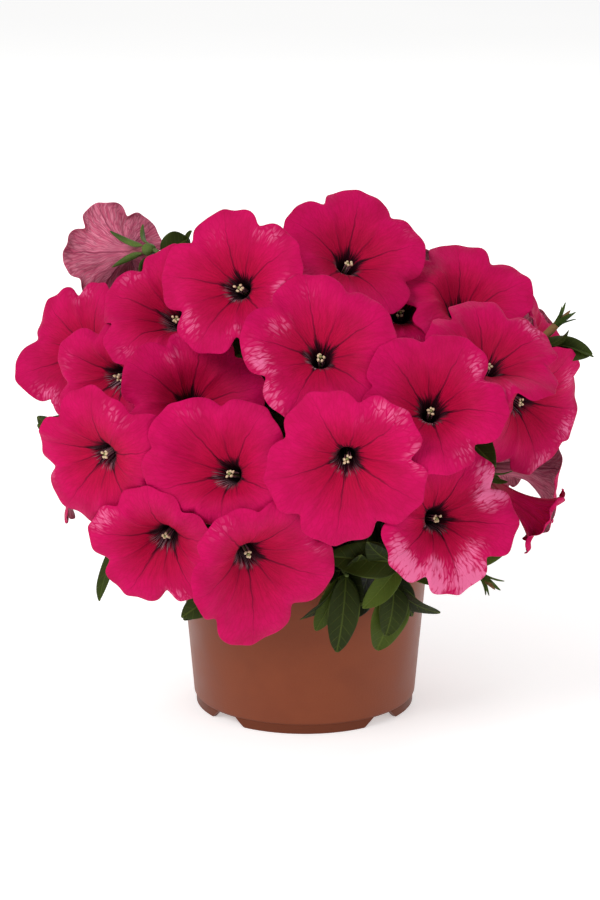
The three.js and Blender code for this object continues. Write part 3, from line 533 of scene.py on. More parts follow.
class Bloom:
    def __init__(self, index, row):
        self.name, at, self.yaw, self.rise, self.roll, self.reach, self.ruffle, self.stem = row[:8]
        self.lobes = row[8] if len(row) > 8 else (1, 1, 1, 1, 1)
        self.number = self.name[-2:]
        draws = seeded_draws(1000 + 37 * index)
        next(draws)
        self.draws = [next(draws) for _ in range(3)]
        yaw, rise = math.radians(self.yaw), math.radians(self.rise)
        self.out = Vector((
            math.sin(yaw) * math.cos(rise), -math.cos(yaw) * math.cos(rise), math.sin(rise),
        ))
        side = Vector((math.cos(yaw), math.sin(yaw), 0))
        up = self.out.cross(side)
        self.frame = Matrix((side, up, self.out)).transposed().to_4x4()
        self.frame.translation = Vector(at)


blooms = [Bloom(index, row) for index, row in enumerate(BLOOM_ROWS)]
print("open flowers:", len(blooms))

# %% [markdown]
# ## The shape of one corolla
# A petunia's petals are joined into one funnel: a narrow tube, a throat, and a wide limb with five
# round lobes. Seen from the front its outline is a circle with five shallow notches; seen from
# the side it opens like a trumpet whose edge waves. Two functions say that: how far the limb
# reaches at an angle, and how high it stands at a share of the way out. A shape this even could be
# sculpted by hand once, but functions let every flower differ a little.

# %% Describe the limb
LOBE_COUNT = 5
LOBE_TURN = 360 / LOBE_COUNT
LOBE_HALF = LOBE_TURN / 2
THROAT_RADIUS = 5.5 * MM
FUNNEL_DEPTH = 13
EDGE_DROP = 1.5
NOTCH_DEPTH = 0.13
TIP_LENGTH = 0.025


def wrap_lobe(bloom, angle):
    around = (angle - bloom.roll) % 360
    lobe = int(around / LOBE_TURN + 0.5)
    return lobe % LOBE_COUNT, around - LOBE_TURN * lobe


def limb_outline(bloom, angle):
    lobe, turn = wrap_lobe(bloom, angle)
    edge = abs(turn) / LOBE_HALF
    own = bloom.lobes[lobe]
    beside = bloom.lobes[(lobe + (1 if turn > 0 else -1)) % LOBE_COUNT]
    length = own + (beside - own) * 0.5 * edge ** 2
    tip = TIP_LENGTH * math.exp(-(turn / 7) ** 2)
    return length * (0.975 + tip - NOTCH_DEPTH * edge ** 5)


def limb_radius(bloom, angle, share):
    return THROAT_RADIUS + (bloom.reach * limb_outline(bloom, angle) - THROAT_RADIUS) * share


def limb_height(bloom, angle, share):
    turn = math.radians(angle - bloom.roll)
    first, second, third = bloom.draws
    waves = 0.5 * math.cos(5 * turn + 2.2 * first)
    waves += 0.6 * math.cos(2 * turn + 6.3 * second)
    waves += 0.5 * math.cos(3 * turn + 6.3 * third)
    funnel = FUNNEL_DEPTH * (1 - (1 - share) ** 2.2) - EDGE_DROP * share ** 3
    return funnel * MM + bloom.ruffle * share ** 2 * waves


print("limb height at the edge:", round(limb_height(blooms[0], 0, 1) / MM, 1), "mm")

# %% [markdown]
# ## How the flowers lie over each other
# In a full mound the flowers overlap like roof tiles, so the upper limb of each pair is pushed
# out where it crosses the lower one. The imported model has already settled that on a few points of
# each limb. The lesson measures there how far each point stands above the even shape, and lays a
# smooth surface through those lifts.

# %% Measure the lift of each limb
LIFT_SHARES = (0, 0.36, 0.74, 1)
LIFT_POINTS = (5, 5, 10, 20)
SAME_PLACE = 0.15 * MM


def measure_lifts(bloom):
    back_to_local = bloom.frame.inverted()
    points = [back_to_local @ vertex.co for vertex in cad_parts[bloom.name].data.vertices]
    tree = KDTree(len(points))
    for index, point in enumerate(points):
        tree.insert((point.x, point.y, 0), index)
    tree.balance()
    rings = []
    for share, count in zip(LIFT_SHARES, LIFT_POINTS):
        ring = []
        for index in range(count):
            angle = bloom.roll + 360 / count * index
            radius = limb_radius(bloom, angle, share)
            turn = math.radians(angle)
            place = (radius * math.cos(turn), radius * math.sin(turn), 0)
            near = [points[found].z for _, found, _ in tree.find_range(place, SAME_PLACE)]
            height = limb_height(bloom, angle, share)
            ring.append(max(near) - height if near else 0.0)
        rings.append(ring)
    return rings


def ease(share):
    return share * share * (3 - 2 * share)


def ring_lift(ring, angle):
    place = angle / 360 * len(ring)
    low = math.floor(place)
    first, second = ring[low % len(ring)], ring[(low + 1) % len(ring)]
    return first + (second - first) * ease(place - low)


def lift_at(rings, angle, share):
    for step in range(len(LIFT_SHARES) - 1):
        low, high = LIFT_SHARES[step], LIFT_SHARES[step + 1]
        if share <= high:
            part = (share - low) / (high - low)
            first, second = (ring_lift(rings[step + each], angle) for each in (0, 1))
            return first + (second - first) * part
    return ring_lift(rings[-1], angle)


for bloom in blooms:
    bloom.lifts = measure_lifts(bloom)
print("largest lift:", round(max(max(ring) for b in blooms for ring in b.lifts) / MM, 1), "mm")

# %% [markdown]
# ## From a grid to a corolla
# A corolla is a sheet that is wrapped round an axis, so it starts as a flat grid. One side of the
# grid becomes the way round, the other the way from the foot of the tube to the edge of the
# limb. Each point is moved to its place and the two ends of the grid are merged. The tube stays
# open at its foot, where it stands in the calyx. The limb gets what the eye knows a petal by: a
# groove along each lobe's middle, small ruffles that grow towards the edge, and a fine crinkle.

# %% Shape a corolla
COLUMNS = 90
TUBE_LENGTH = 26.6
TUBE_RINGS = [(2.1, -TUBE_LENGTH), (2.3, -22), (2.5, -16), (3.0, -10), (3.7, -6), (4.6, -2.6)]
LIMB_RINGS = [0, 0.06, 0.13, 0.21, 0.3, 0.39, 0.48, 0.57, 0.66, 0.74, 0.82, 0.89, 0.95, 1]
ROWS = len(TUBE_RINGS) + len(LIMB_RINGS)
GROOVE = -1.0
PLEAT = 1.5
LEAN = 2.2
RIM_RUFFLES = [(0.7, 9, 0), (0.5, 14, 2), (0.3, 23, 1)]  # height, waves round, which draw


def fine_relief(bloom, angle, share):
    lobe, turn = wrap_lobe(bloom, angle)
    around = math.radians(angle - bloom.roll)
    first, _, third = bloom.draws
    groove = GROOVE * math.exp(-(turn / 5) ** 2) * share * (1.2 - share)
    pleat = PLEAT * math.exp(-((abs(turn) - LOBE_HALF) / 8) ** 2) * share * (1.3 - share)
    lean = LEAN * math.sin(4 * lobe + 9 * first)
    lean *= math.cos(math.radians(turn * 2.4)) ** 2 * share ** 2
    rim = share ** 5
    ruffles = sum(
        height * math.cos(waves * around + 6.3 * bloom.draws[which])
        for height, waves, which in RIM_RUFFLES
    )
    curl = -0.9 * max(0.0, share - 0.8) / 0.2 * (0.4 + math.sin(2 * around + 9 * third) ** 2)
    place = Vector((math.cos(around) * 2.2, math.sin(around) * 2.2, 3 * share + 10 * first))
    crinkle = 0.45 * noise.noise(place * 2.2) * share
    return (groove + pleat + lean + rim * ruffles + curl * share + crinkle) * MM


def scallop(bloom, angle, share):
    _, off_lobe = wrap_lobe(bloom, angle)
    number = round((angle - bloom.roll) / LOBE_TURN + 0.5)
    notch = 0.08 + 0.05 * math.sin(7 * number + 6 * bloom.draws[2])
    notch *= math.exp(-((LOBE_HALF - abs(off_lobe)) / 6) ** 2) * share ** 3
    waves = 0.008 * share * math.cos(15 * math.radians(angle) + 6 * bloom.draws[1])
    tip = 0.018 * share ** 3 * math.exp(-(off_lobe / 4) ** 2)
    return 1.012 - notch + waves + tip


def corolla_point(bloom, column, row):
    angle = bloom.roll + 360 * column / COLUMNS
    turn = math.radians(angle)
    if row < len(TUBE_RINGS):
        radius, height = (value * MM for value in TUBE_RINGS[row])
    else:
        share = LIMB_RINGS[row - len(TUBE_RINGS)]
        radius = limb_radius(bloom, angle, share) * scallop(bloom, angle, share)
        height = limb_height(bloom, angle, share) + fine_relief(bloom, angle, share)
        height += lift_at(bloom.lifts, angle - bloom.roll, share)
    return Vector((radius * math.cos(turn), radius * math.sin(turn), height))


def corolla_grid(bloom):
    return [[corolla_point(bloom, column, row) for column in range(COLUMNS)] for row in range(ROWS)]


grids = {bloom.name: corolla_grid(bloom) for bloom in blooms}
print("points in a corolla:", COLUMNS * ROWS)

# %% [markdown]
# ## Laying the limbs clear of each other
# The finer shape has more points than the measured one, so an upper limb may still dip into the
# one below. From a little above each point a ray is cast back along the flower's axis. Where it
# meets a lower limb too soon, the point is moved out, and the moves are spread to its neighbours so
# that the petal bends instead of denting.

# %% Push the upper limbs clear
CLEAR = 0.9 * MM
LOOK_ABOVE = 7 * MM
SPREAD_PASSES = 5
FIRST_FREE_ROW = len(TUBE_RINGS) + 3


def sheet_tree(bloom):
    corners = [bloom.frame @ point for row in grids[bloom.name] for point in row]
    faces = []
    for row in range(len(TUBE_RINGS), ROWS - 1):
        for column in range(COLUMNS):
            beside = (column + 1) % COLUMNS
            low, high = row * COLUMNS, (row + 1) * COLUMNS
            faces.append((low + column, low + beside, high + beside, high + column))
    return BVHTree.FromPolygons(corners, faces)


def needed_push(bloom, point, lower):
    start = bloom.frame @ point + bloom.out * LOOK_ABOVE
    push = 0.0
    for tree in lower:
        _, _, _, distance = tree.ray_cast(start, -bloom.out, LOOK_ABOVE + CLEAR)
        if distance is not None:
            push = max(push, LOOK_ABOVE + CLEAR - distance)
    return push


def spread(pushes):
    wide = [row[:] for row in pushes]
    for row in range(FIRST_FREE_ROW, ROWS):
        for column in range(COLUMNS):
            near = [pushes[row][column - 1], pushes[row][(column + 1) % COLUMNS]]
            near += [pushes[row - 1][column], pushes[min(row + 1, ROWS - 1)][column]]
            wide[row][column] = max(pushes[row][column], sum(near) / 4)
    return wide


def near_each_other(first, second):
    reach = first.reach + second.reach + 20 * MM
    return (first.frame.translation - second.frame.translation).length < reach


laid = []
pushed = 0
for bloom in blooms:
    lower = [tree for other, tree in laid if near_each_other(bloom, other)]
    grid = grids[bloom.name]
    pushes = [[0.0] * COLUMNS for _ in range(ROWS)]
    for row in range(FIRST_FREE_ROW, ROWS):
        pushes[row] = [needed_push(bloom, point, lower) for point in grid[row]]
    pushed += sum(push > 0 for row in pushes for push in row)
    for _ in range(SPREAD_PASSES):
        pushes = spread(pushes)
    for row in range(ROWS):
        for column in range(COLUMNS):
            grid[row][column].z += pushes[row][column]
    laid.append((bloom, sheet_tree(bloom)))
print("points pushed clear:", pushed, "of", len(blooms) * COLUMNS * ROWS)

# %% [markdown]
# ## What a petal's finish needs to know
# Veins, the dark star in the throat and the pale flecks, which are painted sheen highlights, follow
# the petal and not the room, so the material reads them from attributes that each corolla carries.
# The first holds the place on the petal: two numbers across the flower, turned so that a lobe's
# middle is at angle zero, and the share of the way out. The second holds how strongly the painted
# sheen highlight makes the petal pale there, how strongly the filament lines show, and a number
# of its own for each flower.

# %% Choose the pale patches of painted sheen highlight
PETAL_UNIT = 30 * MM
# Each patch is a painted sheen highlight: a pale spot put into the petal's colour.
PALE_SHEEN_PATCHES = {
    # flower: (angle seen from the front, share of the way out, strength)
    "bloom_11": [
        (210, 0.8, 1.9), (228, 0.85, 1.7), (250, 0.87, 2.0), (252, 0.62, 1.4), (290, 0.87, 2.0),
        (292, 0.62, 1.4), (308, 0.52, 1.0), (30, 0.82, 1.9), (22, 0.62, 1.4),
    ],
    "bloom_10": [(55, 0.86, 0.8), (10, 0.9, 0.7), (75, 0.6, 0.35)],
    "bloom_02": [(-8, 0.75, 1.0), (230, 0.75, 0.8), (60, 0.8, 0.7), (290, 0.7, 0.6), (120, 0.6, 0.4)],
    "bloom_05": [(195, 0.78, 1.1), (150, 0.55, 0.7), (225, 0.9, 0.8), (100, 0.75, 0.4)],
    "bloom_04": [(20, 0.85, 0.4), (200, 0.8, 0.35)],
    "bloom_17": [(150, 0.85, 0.9), (285, 0.85, 0.7)],
    "bloom_09": [(330, 0.8, 1.0), (35, 0.7, 0.8), (285, 0.85, 0.8)],
    "bloom_08": [(35, 0.75, 0.8), (300, 0.8, 0.6)],
    "bloom_13": [(110, 0.6, 0.6), (95, 0.9, 0.4)],
    "bloom_03": [(150, 0.8, 0.6), (250, 0.75, 0.5)],
    "bloom_15": [(100, 0.8, 0.7), (250, 0.8, 0.9)],
    "bloom_16": [(60, 0.8, 0.6), (200, 0.9, 0.5), (320, 0.75, 0.5)],
    "bloom_18": [(130, 0.85, 0.5), (20, 0.8, 0.5)],
    "bloom_12": [(120, 0.8, 0.4), (10, 0.9, 0.4)],
    "bloom_07": [(20, 0.85, 0.9), (250, 0.7, 0.5)],
    "bloom_06": [(310, 0.85, 0.9), (230, 0.7, 0.5)],
}
DEFAULT_SHEEN_PATCHES = [(40, 0.82, 0.5), (165, 0.75, 0.45), (290, 0.85, 0.55)]
PATCH_WIDE = 20
PATCH_LONG = 0.2
FAN_ANGLE = 235
FAN_WIDE = 65


def angle_between(first, second):
    return (first - second + 180) % 360 - 180


def sheen_paleness(bloom, angle, share):
    total = 0.0
    for middle, out, strength in PALE_SHEEN_PATCHES.get(bloom.name, DEFAULT_SHEEN_PATCHES):
        across = angle_between(angle, middle) / PATCH_WIDE
        along = (share - out) / PATCH_LONG
        total = max(total, strength * math.exp(-across ** 2 - along ** 2))
    return total


def petal_marks(bloom, column, row, point):
    turn = 2 * math.pi * column / COLUMNS
    angle = bloom.roll + math.degrees(turn)
    radius = math.hypot(point.x, point.y) / PETAL_UNIT
    limb_row = row - len(TUBE_RINGS)
    share = LIMB_RINGS[limb_row] if limb_row >= 0 else point.z / (TUBE_LENGTH * MM)
    place = (radius * math.cos(turn), radius * math.sin(turn), share)
    fan = math.exp(-(angle_between(angle, FAN_ANGLE) / FAN_WIDE) ** 2)
    return place, (sheen_paleness(bloom, angle, max(share, 0)), fan, bloom.draws[0])


print("flowers with pale patches of their own:", len(PALE_SHEEN_PATCHES))

# %% [markdown]
# ## From the points to a piece
# The grid operator makes the sheet, and each of its vertices is moved to the point that was
# worked out for it and given its marks. Merging the doubles closes the sheet round the tube. A
# wall could be made by hand from a second sheet, but the Solidify modifier does it evenly, and
# puts the second material on the back.

# %% Make one corolla
PETAL_THICKNESS = 0.35 * MM


def make_corolla(bloom, materials):
    bm = bmesh.new()
    place_layer = bm.verts.layers.float_vector.new("petal")
    tone_layer = bm.verts.layers.float_vector.new("tone")
    bmesh.ops.create_grid(bm, x_segments=COLUMNS, y_segments=ROWS - 1, size=0.5)
    for vertex in bm.verts:
        column = round((vertex.co.x + 0.5) * COLUMNS) % COLUMNS
        row = round((vertex.co.y + 0.5) * (ROWS - 1))
        point = grids[bloom.name][row][column]
        vertex[place_layer], vertex[tone_layer] = petal_marks(bloom, column, row, point)
        vertex.co = bloom.frame @ point
    bmesh.ops.remove_doubles(bm, verts=bm.verts, dist=1e-7)
    bmesh.ops.recalc_face_normals(bm, faces=bm.faces)
    inward = sum(face.normal.dot(bloom.out) * face.calc_area() for face in bm.faces)
    if inward < 0:
        bmesh.ops.reverse_faces(bm, faces=bm.faces)
    piece = finish_mesh("corolla_" + bloom.number, bm, materials, "petals")
    wall = piece.modifiers.new("wall", "SOLIDIFY")
    wall.thickness = PETAL_THICKNESS
    wall.offset = -1
    wall.material_offset = 1
    add_subdivision(piece, 1)
    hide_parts(bloom.name)
    return piece


print("petal thickness:", round(PETAL_THICKNESS / MM, 2), "mm")

# %% [markdown]
# ## Veins, shared by both faces of a petal
# Both faces of a petal show the same veins: one strong vein down the middle of each lobe, a weaker
# one at each notch, and a net of fine ones that run outwards and branch. The upper face shows
# them as dark lines in velvet, the back as fine lines on a dusty ground. One node group works
# them out from the petal attribute, so that the two faces agree.

# %% Build the vein group
vein_group = bpy.data.node_groups.new("petal veins", "ShaderNodeTree")
for socket, kind, way in [
    ("Petal", "Vector", "INPUT"), ("Seed", "Float", "INPUT"),
    ("Midrib", "Float", "OUTPUT"), ("Notch line", "Float", "OUTPUT"), ("Net", "Float", "OUTPUT"),
    ("Streaks", "Float", "OUTPUT"), ("Radius", "Float", "OUTPUT"), ("Off middle", "Float", "OUTPUT"),
]:
    vein_group.interface.new_socket(socket, in_out=way, socket_type="NodeSocket" + kind)
LOBE_RADIANS = 2 * math.pi / LOBE_COUNT


def build_veins(tree):
    given = tree.nodes.new("NodeGroupInput")
    result = tree.nodes.new("NodeGroupOutput")
    wobble = add_node(tree, "TexNoise", {
        "Vector": given.outputs["Petal"], "Scale": 3.5, "Detail": 2.0,
    }).outputs["Color"]
    centred = add_node(tree, "VectorMath", {0: wobble, 1: (0.5, 0.5, 0.5)}, operation="SUBTRACT")
    small = add_node(tree, "VectorMath", {0: centred.outputs[0], "Scale": 0.07}, operation="SCALE")
    moved = add_node(tree, "VectorMath", {0: given.outputs["Petal"], 1: small.outputs[0]})
    parts = add_node(tree, "SeparateXYZ", {0: moved.outputs[0]}).outputs
    across, up, share = parts[0], parts[1], parts[2]
    radius = add_math(tree, "SQRT", add_math(
        tree, "ADD", add_math(tree, "MULTIPLY", across, across), add_math(tree, "MULTIPLY", up, up),
    ))
    angle = add_math(tree, "ARCTAN2", up, across)
    lobe = add_math(tree, "ROUND", add_math(tree, "DIVIDE", angle, LOBE_RADIANS))
    inside = add_math(tree, "SUBTRACT", angle, add_math(tree, "MULTIPLY", lobe, LOBE_RADIANS))
    off_middle = add_math(tree, "ABSOLUTE", inside)
    from_midrib = add_math(tree, "MULTIPLY", off_middle, radius)
    from_notch = add_math(tree, "MULTIPLY", add_math(
        tree, "SUBTRACT", LOBE_RADIANS / 2, off_middle), radius)
    half_width = add_ramp(tree, share, 0.0, 0.9, 0.021, 0.007)
    midrib = add_ramp(tree, add_math(tree, "DIVIDE", from_midrib, half_width), 0.3, 1.0, 1.0, 0.0)
    notch = add_ramp(tree, add_math(tree, "DIVIDE", from_notch, half_width), 0.2, 0.9, 1.0, 0.0)
    long_radius = add_math(tree, "ADD", add_math(tree, "MULTIPLY", radius, 1.2), given.outputs["Seed"])
    leaning = add_math(tree, "SUBTRACT", long_radius, add_math(tree, "MULTIPLY", off_middle, 1.2))
    cells = add_node(tree, "CombineXYZ", {
        0: add_math(tree, "MULTIPLY", add_math(tree, "COSINE", angle), 9.0),
        1: add_math(tree, "MULTIPLY", add_math(tree, "SINE", angle), 9.0),
        2: add_math(tree, "MULTIPLY", leaning, 3.0),
    }).outputs[0]
    net_edges = add_node(tree, "TexVoronoi", {"Vector": cells, "Scale": 1.6}, feature="DISTANCE_TO_EDGE")
    net = add_ramp(tree, net_edges.outputs["Distance"], 0.0, 0.16, 1.0, 0.0)
    streak_place = add_node(tree, "CombineXYZ", {
        0: add_math(tree, "MULTIPLY", add_math(tree, "COSINE", angle), 26.0),
        1: add_math(tree, "MULTIPLY", add_math(tree, "SINE", angle), 26.0),
        2: add_math(tree, "MULTIPLY", long_radius, 5.0),
    }).outputs[0]
    streaks = add_node(tree, "TexNoise", {"Vector": streak_place, "Scale": 0.8, "Detail": 3.0})
    outputs = (midrib, notch, net, streaks.outputs[0], radius, off_middle)
    for value, socket in zip(outputs, result.inputs):
        tree.links.new(value, socket)


build_veins(vein_group)


def add_veins(tree):
    petal = add_node(tree, "Attribute", attribute_name="petal").outputs["Vector"]
    tone = add_node(tree, "Attribute", attribute_name="tone").outputs["Vector"]
    tone_parts = add_node(tree, "SeparateXYZ", {0: tone}).outputs
    node = tree.nodes.new("ShaderNodeGroup")
    node.node_tree = vein_group
    tree.links.new(petal, node.inputs["Petal"])
    tree.links.new(tone_parts[2], node.inputs["Seed"])
    share = add_node(tree, "SeparateXYZ", {0: petal}).outputs[2]
    return node.outputs, tone_parts, share


print("vein group nodes:", len(vein_group.nodes))

# %% [markdown]
# ## The upper face of a petal
# The upper face is a velvety magenta that turns crimson towards the throat. A dark purple star
# fills the throat and runs out along the middle veins, pale filament lines show on one side of
# it, and pale pink flecks of painted sheen highlight lie between the veins near the edge. Velvet
# hardly shines, so the shader has very little specular light and only a trace of sheen, and the
# sheen shows in the painted flecks instead.

# %% Finish the upper face
CRIMSON = colour(184, 10, 60)
MAGENTA = colour(198, 10, 88)
DEEP = colour(150, 10, 50)
VEIN = colour(96, 8, 40)
STAR = colour(44, 8, 22)
WELL = colour(22, 5, 12)
SHEEN_FLECK = colour(230, 112, 158)
FILAMENT_LINE = colour(200, 152, 164)

petal_material, petal_tree, petal_shader = new_material(
    "petal velvet", Specular_IOR_Level=0.06, Sheen_Weight=0.01, Sheen_Roughness=0.4,
)


def finish_upper_face(tree, shader):
    veins, tone, share = add_veins(tree)
    radius, off_middle, streaks = veins["Radius"], veins["Off middle"], veins["Streaks"]
    fine, slow = add_grain(tree, 1500.0)
    ground = mix_colours(tree, add_ramp(tree, share, 0.05, 0.85), CRIMSON, MAGENTA)
    cloud = add_ramp(tree, slow, 0.35, 0.75, 0.0, 0.35)
    ground = mix_colours(tree, cloud, ground, DEEP)
    inner_streaks = add_math(tree, "MULTIPLY", add_ramp(tree, streaks, 0.4, 0.7),
                             add_ramp(tree, share, 0.85, 0.1, 0.12, 0.6))
    ground = mix_colours(tree, inner_streaks, ground, DEEP)
    net = add_math(tree, "MULTIPLY", veins["Net"], 0.17)
    ground = mix_colours(tree, net, ground, DEEP)
    # painted sheen highlight: pale pink patches set into the colour where the petal would shine
    sheen_patch = add_math(tree, "MULTIPLY", tone[0], add_ramp(tree, streaks, 0.36, 0.62, 0.55, 1.1))
    sheen_patch = add_math(tree, "SUBTRACT", sheen_patch, add_math(tree, "MULTIPLY", veins["Net"], 0.4))
    ground = mix_colours(tree, add_ramp(tree, sheen_patch, 0.15, 1.1, 0.0, 0.85), ground, SHEEN_FLECK)
    rib = add_math(tree, "MULTIPLY", veins["Midrib"], add_ramp(tree, share, 0.08, 0.95, 0.8, 0.16))
    notch = add_math(tree, "MULTIPLY", veins["Notch line"], add_ramp(tree, share, 0.06, 0.6, 0.65, 0.03))
    lines = add_math(tree, "MAXIMUM", rib, notch)
    ground = mix_colours(tree, lines, ground, VEIN)
    point = add_ramp(tree, off_middle, 0.0, 0.26, 0.08, 0.0)
    frayed = add_math(tree, "MULTIPLY", add_math(tree, "SUBTRACT", streaks, 0.5), 0.34)
    edge = add_math(tree, "ADD", add_math(tree, "ADD", point, frayed), 0.215)
    past = add_math(tree, "SUBTRACT", radius, edge)
    star = add_ramp(tree, past, -0.06, 0.06, 1.0, 0.0)
    ground = mix_colours(tree, star, ground, STAR)
    fan = add_math(tree, "MULTIPLY", tone[1], add_ramp(tree, streaks, 0.53, 0.6))
    band = add_math(tree, "MULTIPLY", add_ramp(tree, radius, 0.08, 0.12), add_ramp(tree, radius, 0.28, 0.2))
    fan = add_math(tree, "MULTIPLY", fan, add_math(tree, "MULTIPLY", band, 0.75))
    ground = mix_colours(tree, fan, ground, FILAMENT_LINE)
    ground = mix_colours(tree, add_ramp(tree, radius, 0.13, 0.07), ground, WELL)
    tree.links.new(ground, shader.inputs["Base Color"])
    rough = add_ramp(tree, sheen_patch, 0.2, 1.0, 0.62, 0.48)
    tree.links.new(rough, shader.inputs["Roughness"])
    relief = add_math(tree, "MULTIPLY", fine, 0.25)
    relief = add_math(tree, "SUBTRACT", relief, add_math(tree, "MULTIPLY", lines, 0.9))
    relief = add_math(tree, "SUBTRACT", relief, add_math(tree, "MULTIPLY", veins["Net"], 0.35))
    relief = add_math(tree, "ADD", relief, add_math(tree, "MULTIPLY", streaks, 0.8))
    add_bump(tree, shader, relief, 0.5, 0.00035)


finish_upper_face(petal_tree, petal_shader)
print("upper face nodes:", len(petal_tree.nodes))

# %% [markdown]
# ## The back of a petal
# The back is duller: a dusty pink with fine darker veins, which run together along the funnel and
# fade to a pale, slightly green tube at its foot. One small limp flower at the right has the
# colours of its face on its back as well.

# %% Finish the back of a petal
DUSTY = colour(206, 92, 124)
DUSTY_PALE = colour(226, 134, 158)
DUSTY_VEIN = colour(112, 26, 58)
TUBE_FOOT = colour(150, 96, 92)

back_material, back_tree, back_shader = new_material("petal back", Specular_IOR_Level=0.1)
deep_material, deep_tree, deep_shader = new_material("deep petal back", Specular_IOR_Level=0.08)


def finish_back(tree, shader, dusty, pale, vein):
    veins, tone, share = add_veins(tree)
    fine, slow = add_grain(tree, 1500.0)
    ground = mix_colours(tree, add_ramp(tree, veins["Streaks"], 0.35, 0.65), dusty, pale)
    ground = mix_colours(tree, add_ramp(tree, slow, 0.3, 0.7, 0.0, 0.3), ground, vein)
    ground = mix_colours(tree, add_ramp(tree, share, -0.2, -0.8, 0.0, 0.8), ground, TUBE_FOOT)
    net = add_math(tree, "MULTIPLY", veins["Net"], 0.4)
    lines = add_math(tree, "MAXIMUM", add_math(tree, "MULTIPLY", veins["Midrib"], 0.7), net)
    ground = mix_colours(tree, lines, ground, vein)
    tree.links.new(ground, shader.inputs["Base Color"])
    rough = add_ramp(tree, fine, 0.3, 0.7, 0.6, 0.75)
    tree.links.new(rough, shader.inputs["Roughness"])
    relief = add_math(tree, "ADD", lines, add_math(tree, "MULTIPLY", fine, 0.3))
    add_bump(tree, shader, relief, 0.5, 0.0003)


finish_back(back_tree, back_shader, DUSTY, DUSTY_PALE, DUSTY_VEIN)
finish_back(deep_tree, deep_shader, CRIMSON, MAGENTA, DEEP)
LIMP_FLOWER = "bloom_19"
corollas = []
for bloom in blooms:
    underside = deep_material if bloom.name == LIMP_FLOWER else back_material
    corollas.append(make_corolla(bloom, [petal_material, underside]))
print("corollas made:", len(corollas))

# %% [markdown]
# ## Stamens and stigma
# In the throat stand five stamens round a pistil: thin filaments that carry cream anthers, and a
# green stigma between them. At this size an anther is a grain of two millimetres, so a squashed
# sphere with a crease is enough, and a filament is a thin tapered tube.

# %% Build the helper for tubes
def square_frame(direction, hint=Vector((0.31, 0.17, 0.93))):
    along = direction.normalized()
    across = along.cross(hint).normalized()
    return Matrix((across, along.cross(across), along)).transposed()


def add_tube(bm, points, radii, sides, material=0):
    turn = None
    edges = []
    for index, (point, radius) in enumerate(zip(points, radii)):
        before, after = points[max(index - 1, 0)], points[min(index + 1, len(points) - 1)]
        direction = (after - before).normalized()
        if turn is None:
            turn = square_frame(direction)
            start = bmesh.ops.create_circle(bm, segments=sides, radius=1.0, cap_ends=True)["verts"]
            ring = list(start)
            cap = {face for vertex in ring for face in vertex.link_faces}
            edges = list({edge for vertex in ring for edge in vertex.link_edges})
            shape = [vertex.co.copy() for vertex in ring]
            for face in cap:
                face.material_index = material
        else:
            turn = turn_towards(turn, direction)
            made = bmesh.ops.extrude_edge_only(bm, edges=edges)["geom"]
            ring = pair_up(ring, [item for item in made if isinstance(item, bmesh.types.BMVert)])
            edges = [item for item in made if isinstance(item, bmesh.types.BMEdge)
                     and all(vertex in set(ring) for vertex in item.verts)]
            for face in (item for item in made if isinstance(item, bmesh.types.BMFace)):
                face.material_index = material
        for vertex, flat in zip(ring, shape):
            vertex.co = point + turn @ (flat * radius)
    bmesh.ops.edgeloop_fill(bm, edges=edges, mat_nr=material)
    faces = {face for vertex in connected(ring) for face in vertex.link_faces}
    bmesh.ops.recalc_face_normals(bm, faces=list(faces))


def turn_towards(turn, direction):
    along = turn.col[2]
    return (along.rotation_difference(direction)).to_matrix() @ turn


def pair_up(ring, made):
    return [min(made, key=lambda vertex: (vertex.co - old.co).length_squared) for old in ring]


def connected(seed):
    found, queue = set(seed), list(seed)
    while queue:
        for edge in queue.pop().link_edges:
            for vertex in edge.verts:
                if vertex not in found:
                    found.add(vertex)
                    queue.append(vertex)
    return found


upright = square_frame(Vector((0, 0, 1)))
print("across an upright tube:", [round(value, 2) for value in upright.col[0]])

# %% [markdown]
# The filaments start from the floor of the throat and lean apart, so that their anthers stand in a
# loose cluster at its mouth. Each flower's cluster is placed by its own draws.

# %% Make the stamens
STAMEN_COUNT = 5
ANTHER_LONG = 0.9 * MM
ANTHER_WIDE = 0.64 * MM
FILAMENT_RING = 1.1 * MM
FILAMENT_FLOOR = -14 * MM
FILAMENT_RADII = (0.28, 0.24, 0.2)
PISTIL = [(0.4, -24), (0.35, -10), (0.4, 0.2), (0.85, 0.9), (0.5, 1.3)]  # radius and height
POLLEN_DARK = colour(196, 164, 124)
POLLEN_LIGHT = colour(232, 214, 180)

anther_material, anther_tree, anther_shader = new_material("pollen cream", Roughness=0.8)
anther_fine, _ = add_grain(anther_tree, 2500.0)
anther_tone = add_ramp(anther_tree, anther_fine, 0.35, 0.65)
anther_base = mix_colours(anther_tree, anther_tone, POLLEN_DARK, POLLEN_LIGHT)
anther_tree.links.new(anther_base, anther_shader.inputs["Base Color"])
add_bump(anther_tree, anther_shader, anther_fine, 0.6, 0.0002)

filament_material, filament_tree, filament_shader = new_material("filament", Roughness=0.6)
filament_fine, _ = add_grain(filament_tree, 900.0)
filament_base = mix_colours(filament_tree, filament_fine, colour(120, 60, 84), colour(176, 120, 130))
filament_tree.links.new(filament_base, filament_shader.inputs["Base Color"])

stigma_material, stigma_tree, stigma_shader = new_material("stigma green", Roughness=0.45)
stigma_fine, _ = add_grain(stigma_tree, 1800.0)
stigma_base = mix_colours(stigma_tree, stigma_fine, colour(96, 104, 50), colour(150, 152, 88))
stigma_tree.links.new(stigma_base, stigma_shader.inputs["Base Color"])


